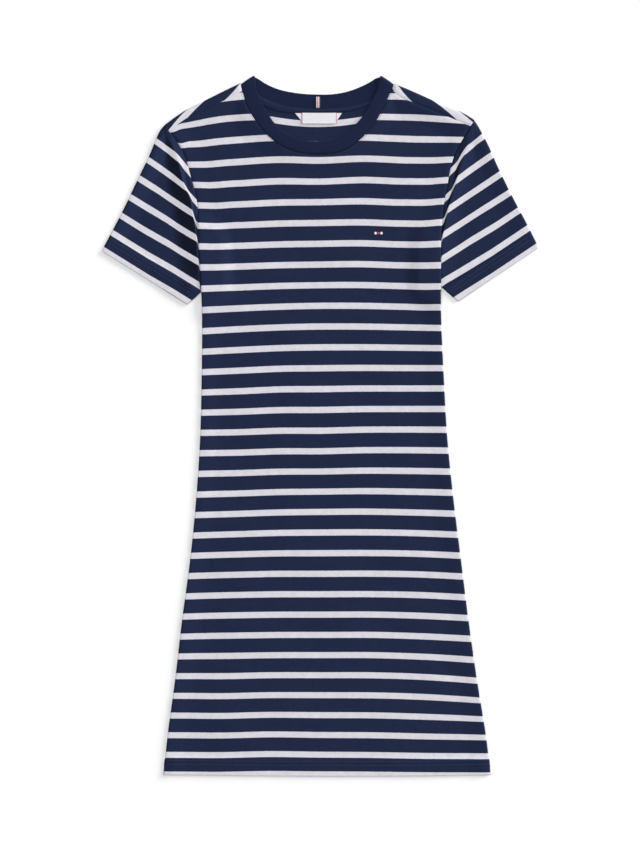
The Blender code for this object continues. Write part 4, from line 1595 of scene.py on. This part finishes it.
# --- the neck ---
@dataclass
class Neck:
    """The neckband, the tape inside the back neck, the label and the hanger loop."""

    pattern: Pattern
    lay: Lay
    rib: Material
    jersey: Material
    label: Material
    ribbon: Material
    columns: int = 110
    turn_steps: int = 10
    blend: float = 0.06             # the share of a half of the band over which it eases into its fold
    probe: tuple = (4, 40)
    band_width: float = 20.0 * MM
    band_edge: float = 1.0 * MM     # the radius of its neck edge
    band_swell: float = 0.45 * MM   # how full it is, and how deep it dips beside the seam
    band_dip: float = 0.45 * MM
    band_dip_width: float = 1.4 * MM
    outer_shares: tuple = (0.03, 0.07, 0.14, 0.25, 0.4, 0.55, 0.7, 0.82, 0.9, 0.96, 1.0)
    inner_shares: tuple = (0.9, 0.75, 0.6, 0.45, 0.3, 0.15, 0.07, 0.03)
    seam_turn: tuple = ((0.15, 0.9), (0.15, 1.3), (-0.3, 1.8))  # millimetres past the seam, and into the wall
    tape_wall: float = 0.5 * MM
    tape_probe: tuple = (1, 40)
    tape_above: float = 1.4 * MM
    tape_ends: tuple = (0.06, 0.94)
    tape_steps: int = 90
    tape_start: float = 13.2 * MM   # where it lies in the stripes, and how much of them it takes up
    tape_span: float = 5 * MM
    tape_rows: tuple = ((0.0, 2.35), (0.08, 2.6), (0.3, 2.75), (0.7, 2.5), (0.94, 2.2), (1.0, 1.75))
    label_wall: float = 0.32 * MM
    label_sides: tuple = (-23.8, 21.2)
    label_middle: float = -1.3
    label_drops: tuple = (47.0, 47.9, 50.0, 53.0, 56.0, 58.5, 60.2, 61.1)
    label_length: float = 14.1
    label_height: float = 2.3       # at its sewn edge, how much more at its free one, and its waves
    label_rise: float = 0.5
    label_wave: float = 0.12
    end_top: float = 47.4
    end_length: float = 9.6
    end_height: float = 1.75
    end_rise: float = 0.15
    loop_wall: float = 0.4 * MM
    loop_sides: tuple = (-6.2, 0.3)
    loop_top: float = 26.6
    loop_length: float = 14.4
    loop_height: float = 2.45       # at its ends, how far it stands proud between them, and its crown
    loop_proud: float = 1.0
    loop_crown: float = 0.12

    def band_end(self, which: int) -> tuple[Array, Array, Array]:
        """A fold of the band, moved in by its radius.

        Args:
            which: 0 for the left one, 1 for the right one.

        Returns:
            Its neck end, its seam end and the way out.
        """
        edge, seam = plan(self.pattern.band_folds[which])
        run = unit(seam - edge)
        outward = np.array([-run[1], run[0]]) if run[0] > 0 else np.array([run[1], -run[0]])
        return edge - outward * self.lay.band_fold, seam - outward * self.lay.band_fold, outward

    def half(self, layer: Layer, ends: Sequence[tuple]) -> list:
        """The stations of the band on one layer, from left to right.

        Args:
            layer: the front or the back of the neck.
            ends: both folds.

        Returns:
            For each station its place at the neck edge and at the seam, its height and the way it faces.
        """
        lay, shares = self.lay, np.linspace(0, 1, self.columns + 1)
        is_front = layer is Layer.FRONT
        table, out = (self.pattern.neck_front_edge, 0.0) if is_front else (self.pattern.neck_back_edge, 0.5)
        first, last = (end[0] + end[2] * lay.band_fold * out for end in ends)
        edge = Path(np.vstack([first, plan(table), last])).at(shares)
        seam = self.pattern.neck_seam(layer).at(shares)
        blend = np.minimum(ease(shares / self.blend), ease((1 - shares) / self.blend))[:, None]
        fold_seam = np.where(shares[:, None] < 0.5, ends[0][1], ends[1][1])
        seam = seam * blend + (seam + fold_seam) / 2 * (1 - blend)
        height = np.zeros(len(shares))
        if is_front:
            height = lay.over_neck(seam, lay.band_front) + 2 * (lay.band_fold - lay.shoulder_fold)
            height = np.minimum(height, 2 * lay.band_fold)
        facing = (np.zeros(2), 1.0 if is_front else -1.0)
        return [(a, b, h, facing) for a, b, h in zip(edge, seam, height)]

    def stations(self) -> list:
        """The stations round the band: its front, the right fold, its back, the left fold and the start.

        Returns:
            The stations, as `half` gives them.
        """
        ends = [self.band_end(0), self.band_end(1)]
        front, back = self.half(Layer.FRONT, ends), self.half(Layer.BACK, ends)
        right, left = self.turn(ends[1][2], front[-1], back[-1]), self.turn(ends[0][2], back[0], front[0])
        return [*front, *right, *back[::-1], *left, front[0]]

    def turn(self, outward: Array, start: tuple, stop: tuple) -> list:
        """The stations round a fold.

        Args:
            outward: the way out.
            start: the station before it.
            stop: the station after it.

        Returns:
            The stations between them.
        """
        radius, down = self.lay.band_fold, start[2] > stop[2]
        stations = []
        for step in range(1, self.turn_steps):
            share = step / self.turn_steps
            angle = math.pi * (share if down else 1 - share)
            swing = outward * radius * math.sin(angle)
            edge, seam = (start[i] * (1 - share) + stop[i] * share + swing for i in (0, 1))
            facing = (outward * math.sin(angle), math.cos(angle))
            stations.append((edge, seam, radius * (1 + math.cos(angle)), facing))
        return stations

    def profile(self) -> list:
        """The section of the band.

        Returns:
            Its points: share from neck edge to seam, metres past the seam, depth into the wall.
        """
        width, corner = self.band_width, self.band_edge

        def rounding(share: float) -> float:
            """How far the neck edge is rounded off at this share of the width."""
            return corner * (1 - float(quarter(share * width / corner)))

        outer = []
        for share in self.outer_shares:
            swell = self.band_swell * math.sin(math.pi * share)
            dip = self.band_dip * float(fade((1 - share) * width / self.band_dip_width))
            outer.append((share, 0.0, rounding(share) + dip - swell))
        past = [(1.0, beyond * MM, depth * MM) for beyond, depth in self.seam_turn]
        inner = [(share, 0.0, self.lay.rib - rounding(share)) for share in self.inner_shares]
        return [(0.0, 0.0, corner), *outer, *past, *inner, (0.0, 0.0, corner)]

    def band(self) -> Piece:
        """The neckband: a closed ring of doubled rib, folded flat at the ends of the shoulders.

        Returns:
            The piece.
        """
        ring = self.stations()
        along = marks_along(np.array([station[1] for station in ring]))
        places = []
        for share, past, depth in self.profile():
            line = []
            for edge, seam, height, (side, up) in ring:
                flat = edge + (seam - edge) * share + unit(seam - edge) * past - side * depth
                line.append((*flat, max(0.0, height - up * depth)))
            places.append(line)
        places = np.array(places)
        steps = np.linalg.norm(np.diff(places[:, self.probe[1]], axis=0), axis=1)
        depths = np.concatenate(([0.0], np.cumsum(steps)))
        cloth = np.stack(np.broadcast_arrays(along[None], depths[:, None]), axis=-1)
        piece = Sheet(places, cloth).piece("rib_neckband", 0.0, self.rib, True, self.probe, closed=True)
        return settle(piece, "rib", "neckband")

    def tape(self) -> Piece:
        """The strip that covers the seam inside the back neck.

        Returns:
            The piece.
        """
        upper = self.pattern.neck_seam(Layer.BACK).at(np.linspace(*self.tape_ends, self.tape_steps + 1))
        upper = upper + outward_normals(upper) * self.tape_above
        lower = Path(plan(self.pattern.tape_edge)).split(self.tape_steps)
        lines = []
        for share, height in self.tape_rows:
            flat = upper * (1 - share) + lower * share
            lines.append((flat, height * MM, flat[:, 0], self.tape_start + share * self.tape_span))
        sheet = Sheet.of_lines(lines)
        piece = sheet.piece("back_neck_tape", self.tape_wall, self.jersey, True, self.tape_probe)
        return settle(piece, "jersey")

    def label_face(self) -> Piece:
        """The face of the bare woven label, a little wavy towards its free edge.

        Returns:
            The piece.
        """
        across = np.linspace(*self.label_sides, 37)
        lines = []
        for drop in self.label_drops:
            share = (drop - self.label_drops[0]) / self.label_length
            wave = self.label_wave * np.sin((across + 4) / 9.0) * share
            height = self.label_height + self.label_rise * share ** 2 + wave
            flat = plan([(x, drop + 0.35 * math.cos(x / 22.0)) for x in across])
            lines.append((flat, height * MM, (across - self.label_middle) * MM, drop * MM))
        piece = Sheet.of_lines(lines).piece("label_face", self.label_wall, self.label)
        return settle(piece, "label", "neck_label")

    def label_end(self, name: str, top: tuple, bottom: tuple) -> Piece:
        """One end of the label's tape, folded in at a slant behind its face.

        Args:
            name: the name of the piece.
            top: where its upper edge begins and ends across, in millimetres.
            bottom: the same for its lower edge.

        Returns:
            The piece.
        """
        lines = []
        for share in np.linspace(0, 1, 8):
            start, end = (a * (1 - share) + b * share for a, b in zip(top, bottom))
            flat = plan([(x, self.end_top + self.end_length * share) for x in np.linspace(start, end, 8)])
            height, along = (self.end_height + self.end_rise * share) * MM, self.end_length * share * MM
            lines.append((flat, height, flat[:, 0] - self.label_middle * MM, along))
        return settle(Sheet.of_lines(lines).piece(name, self.label_wall, self.label), "label")

    def loop(self) -> Piece:
        """The hanger loop: a short ribbon, sewn down at both ends and a little proud between them.

        Returns:
            The piece.
        """
        left, right = self.loop_sides
        across, half = np.linspace(left, right, 13), (right - left) / 2
        middle = left + half
        lines = []
        for share in np.linspace(0, 1, 20):
            drop = self.loop_top + self.loop_length * share
            height = self.loop_height + self.loop_proud * max(0.0, math.sin(math.pi * share)) ** 0.7
            crown = self.loop_crown * np.cos((across - middle) / half * math.pi / 2)
            flat = plan([(x, drop) for x in across])
            lines.append((flat, (height + crown) * MM, (across - middle) * MM, drop * MM))
        piece = Sheet.of_lines(lines).piece("loop_ribbon", self.loop_wall, self.ribbon)
        return settle(piece, "ribbon", "hanger_loop")

    def build(self) -> Piece:
        """Returns:
            The tape.
        """
        band, tape, loop = self.band(), self.tape(), self.loop()
        face = self.label_face()
        ends = [self.label_end("label_end_left", (-32.6, -23.4), (-24.4, -23.4)),
                self.label_end("label_end_right", (20.8, 28.0), (20.8, 21.8))]
        return tape


# --- stitching ---
@dataclass
class Needlework:
    """Rows of machine stitches laid over the finished cloth, and the small embroidery on the chest."""

    pattern: Pattern
    thread: Material
    pitch: float = 3.0 * MM
    length: float = 2.5 * MM
    width: float = 0.42 * MM
    height: float = 0.3 * MM
    hem_rows: tuple = (14.0, 19.0)      # the two needles of the coverstitch, in millimetres from the hem
    neck_rows: tuple = (1.9,)           # the one that shows beside the seam of the neckband
    back_neck_row: float = 1.2
    proud: float = 0.05 * MM            # how far the middle of a stitch stands above the cloth
    steepest: float = 0.9               # the sine of the steepest slope that a stitch follows
    dots_across: tuple = (71.2, 75.0, 78.8)
    dots_drop: float = 202.1
    dot_size: tuple = (1.55 * MM, 1.75 * MM, 0.45 * MM)

    def surface(self, pieces: Sequence[Piece], from_below: bool) -> Callable:
        """Get ready to find the outermost finished surface of some pieces.

        Args:
            pieces: the pieces.
            from_below: whether the lowest surface is meant, not the highest.

        Returns:
            A function that gives its height at a place.
        """
        graph = bpy.context.evaluated_depsgraph_get()
        solids = [piece.evaluated_get(graph) for piece in pieces]
        side = -1.0 if from_below else 1.0

        def height(place: Array) -> Optional[float]:
            """The height of the cloth at this place, if there is any.

            Args:
                place: the place in plan.

            Returns:
                The height, or nothing.
            """
            start, way = Vector((*place, 0.1 * side)), Vector((0.0, 0.0, -side))
            hits = (solid.ray_cast(start, way) for solid in solids)
            found = [spot.z for hit, spot, _, _ in hits if hit]
            return (min(found) if from_below else max(found)) if found else None

        return height

    def beside(self, path: Path, away: float, start: float = 0.01, stop: float = 0.99) -> Array:
        """A line this many millimetres to the left of a path, between two shares of its length."""
        line = path.at(np.linspace(start, stop, 60))
        return line + outward_normals(line) * away * MM

    def rows_along(self, name: str, pieces: Sequence[Piece], lines: Sequence[Array],
                   from_below: bool = False) -> None:
        """Lay stitches end to end along lines on the cloth.

        Args:
            name: the name of the stitching.
            pieces: the cloth that it is sewn to.
            lines: the places of each row, in plan.
            from_below: whether the rows show on the side that lies on the table.
        """
        height = self.surface(pieces, from_below)
        skin = bmesh.new()
        for line in lines:
            path = Path(line)
            ends = path.split(int(path.length / self.pitch))
            for start, end in zip(ends, ends[1:]):
                spots = [height(place) for place in (start, end)]
                if None not in spots:
                    self.stitch(skin, *(Vector((*place, z)) for place, z in zip((start, end), spots)))
        settle(finished(skin, name, self.thread), "jersey")

    def stitch(self, skin: bmesh.types.BMesh, first: Vector, last: Vector) -> None:
        """Add one stitch: a short rounded bar, half sunk into the cloth.

        Args:
            skin: the stitches so far.
            first: where it begins.
            last: where it ends.
        """
        run = last - first
        slope = max(-self.steepest, min(self.steepest, run.z / run.length))
        turn = Matrix.Rotation(math.atan2(run.y, run.x), 4, "Z")
        tilt = Matrix.Rotation(-math.asin(slope), 4, "Y")
        shape = Matrix.Diagonal((self.length / 2, self.width / 2, self.height / 2, 1.0))
        place = Matrix.Translation((first + last) / 2 + Vector((0, 0, self.proud)))
        bmesh.ops.create_icosphere(skin, subdivisions=1, radius=1.0, matrix=place @ turn @ tilt @ shape)

    def hem_of(self, side: Side) -> Path:
        """The hem of a sleeve, with the sleeve to its left."""
        ends = [path.places[-1] for path in (self.pattern.sleeve_top(side), self.pattern.underarm(side))]
        return Path(np.array(ends if side is Side.LEFT else ends[::-1]))

    def dots(self, piece: Piece, white: Material, red: Material) -> None:
        """Three satin-stitched dots in a row on the chest.

        Args:
            piece: the front of the dress.
            white: the thread of the outer two.
            red: the thread of the middle one.
        """
        height = self.surface([piece], False)
        for i, (across, finish) in enumerate(zip(self.dots_across, (white, red, white)), 1):
            place = plan([(across, self.dots_drop)])[0]
            skin = bmesh.new()
            shape = Matrix.Diagonal((*self.dot_size, 1.0))
            spot = Matrix.Translation((*place, height(place)))
            bmesh.ops.create_uvsphere(skin, u_segments=20, v_segments=12, radius=1.0, matrix=spot @ shape)
            settle(finished(skin, f"chest_dot_{i}", finish), "label")

    def build(self, front: Piece, back: Piece, tubes: dict, tape: Piece) -> None:
        """Sew the hems, the neck and the strip inside the back neck, and embroider the dots.

        Args:
            front: the front of the dress.
            back: its back.
            tubes: the sleeves by side.
            tape: the strip inside the back neck.
        """
        skirt = [self.beside(self.pattern.hem(), away) for away in self.hem_rows]
        self.rows_along("skirt_hem_stitches_front", [front], skirt)
        self.rows_along("skirt_hem_stitches_back", [back], skirt, from_below=True)
        for side, tube in tubes.items():
            rows = [self.beside(self.hem_of(side), away, 0.03, 0.97) for away in self.hem_rows]
            self.rows_along(f"{side.value}_sleeve_hem_stitches", [tube], rows)
            self.rows_along(f"{side.value}_sleeve_hem_stitches_below", [tube], rows, from_below=True)
        seam = self.pattern.neck_seam(Layer.FRONT)
        self.rows_along("neck_stitches", [front, back], [self.beside(seam, -away) for away in self.neck_rows])
        inside = self.beside(self.pattern.neck_seam(Layer.BACK), -self.back_neck_row, 0.12, 0.88)
        self.rows_along("back_neck_stitches", [tape], [inside])
        self.dots(front, Thread("white_embroidery_thread", "#E4E2E6").material(),
                  Thread("red_embroidery_thread", "#B22A40").material())


# --- the studio ---
class Lamp(NamedTuple):
    """A square soft light that looks at the middle of the dress."""

    name: str
    place: tuple
    size: float
    watts: float
    colour: tuple


@dataclass
class Studio:
    """The pale table below the dress, its lights and the camera straight above it."""

    lens: float = 100.0
    sensor: float = 36.0
    view_height: float = 1.0967     # metres of the table from the top to the bottom of the picture
    focus: float = 3.0 * MM         # the height at which that is measured
    centre: tuple = (-0.0002, -0.0004)
    table_colour: str = "#F6F6F6"
    table_reach: float = 12.0
    table_below: float = 0.2 * MM
    lamps: tuple = (
        Lamp("key", (8.65, 5.65, 3.8), 7.0, 1350.0, (1.0, 0.99, 0.97)),
        Lamp("overhead", (-1.0, 0.5, 9.0), 7.0, 585.0, (1.0, 1.0, 1.0)),
    )
    surround: tuple = (0.93, 0.95, 1.0, 1.0)
    surround_strength: float = 0.235

    def camera(self) -> None:
        """The camera, looking straight down."""
        data = bpy.data.cameras.new("camera")
        data.lens = self.lens
        data.sensor_width = self.sensor
        camera = bpy.data.objects.new("camera", data)
        camera.location = (*self.centre, self.focus + self.view_height * self.lens / self.sensor)
        bpy.context.scene.collection.objects.link(camera)
        bpy.context.scene.camera = camera

    def table(self) -> None:
        """A wide pale table top with a fine matt grain."""
        shader = Shader("matt_white_laminate")
        place = shader.add("ShaderNodeTexCoord").outputs["Object"]
        tone = shader.blotches(place, 30 * MM, 3.0, 0.985, 1.0)
        shader.colour(shader.tinted(linear(self.table_colour), tone))
        shader.fixed(Roughness=0.9, Specular_IOR_Level=0.1)
        top = bmesh.new()
        bmesh.ops.create_grid(top, x_segments=1, y_segments=1, size=self.table_reach)
        bmesh.ops.translate(top, verts=top.verts, vec=(0, 0, -self.table_below))
        finished(top, "table_top", shader.material)

    def softbox(self, lamp: Lamp) -> None:
        """Set up a lamp.

        Args:
            lamp: the lamp.
        """
        data = bpy.data.lights.new(lamp.name, "AREA")
        data.shape = "SQUARE"
        data.size = lamp.size
        data.energy = lamp.watts
        data.color = lamp.colour
        light = bpy.data.objects.new(lamp.name, data)
        light.location = lamp.place
        light.rotation_euler = (-Vector(lamp.place)).to_track_quat("-Z", "Y").to_euler()
        bpy.context.scene.collection.objects.link(light)

    def lights(self) -> None:
        """A key from the upper right, a broad fill from above and an even surround."""
        for lamp in self.lamps:
            self.softbox(lamp)
        world = bpy.data.worlds.new("surround")
        world.use_nodes = True
        background = world.node_tree.nodes["Background"]
        background.inputs["Color"].default_value = self.surround
        background.inputs["Strength"].default_value = self.surround_strength
        bpy.context.scene.world = world

    def tone(self) -> None:
        """The look of the picture."""
        settings = bpy.context.scene.view_settings
        settings.view_transform = "Standard"
        settings.look = "None"
        settings.exposure = 0.0

    def build(self) -> None:
        """Set up the table, the lights, the camera and the look."""
        self.camera()
        self.table()
        self.lights()
        self.tone()


def main() -> None:
    """Build the dress piece by piece, then the studio."""
    logging.basicConfig(level=logging.INFO, format="%(name)s: %(message)s")
    pattern, lay, stripes, swell = Pattern(), Lay(), Stripes(), Swell()
    jersey = Jersey().material(stripes)
    body = Body(pattern, lay, stripes, swell, jersey)
    front, back = body.front(), body.back()
    tubes = {side: Sleeve(side, pattern, lay, stripes, swell).build() for side in Side}
    label = Tape("woven_label_tape", "#D9D8DE", ((-22.0, 0.8, "#C2455C"), (22.0, 0.8, "#C2455C")))
    ribbon = Tape("grosgrain_ribbon", "#1C2440", ((0.0, 3.4, "#E9E8EC"), (0.0, 1.5, "#B8283F")))
    tape = Neck(pattern, lay, Rib().material(), jersey, label.material(), ribbon.material()).build()
    Needlework(pattern, Thread("navy_sewing_thread", "#263052").material()).build(front, back, tubes, tape)
    Studio().build()


if __name__ == "__main__":
    main()
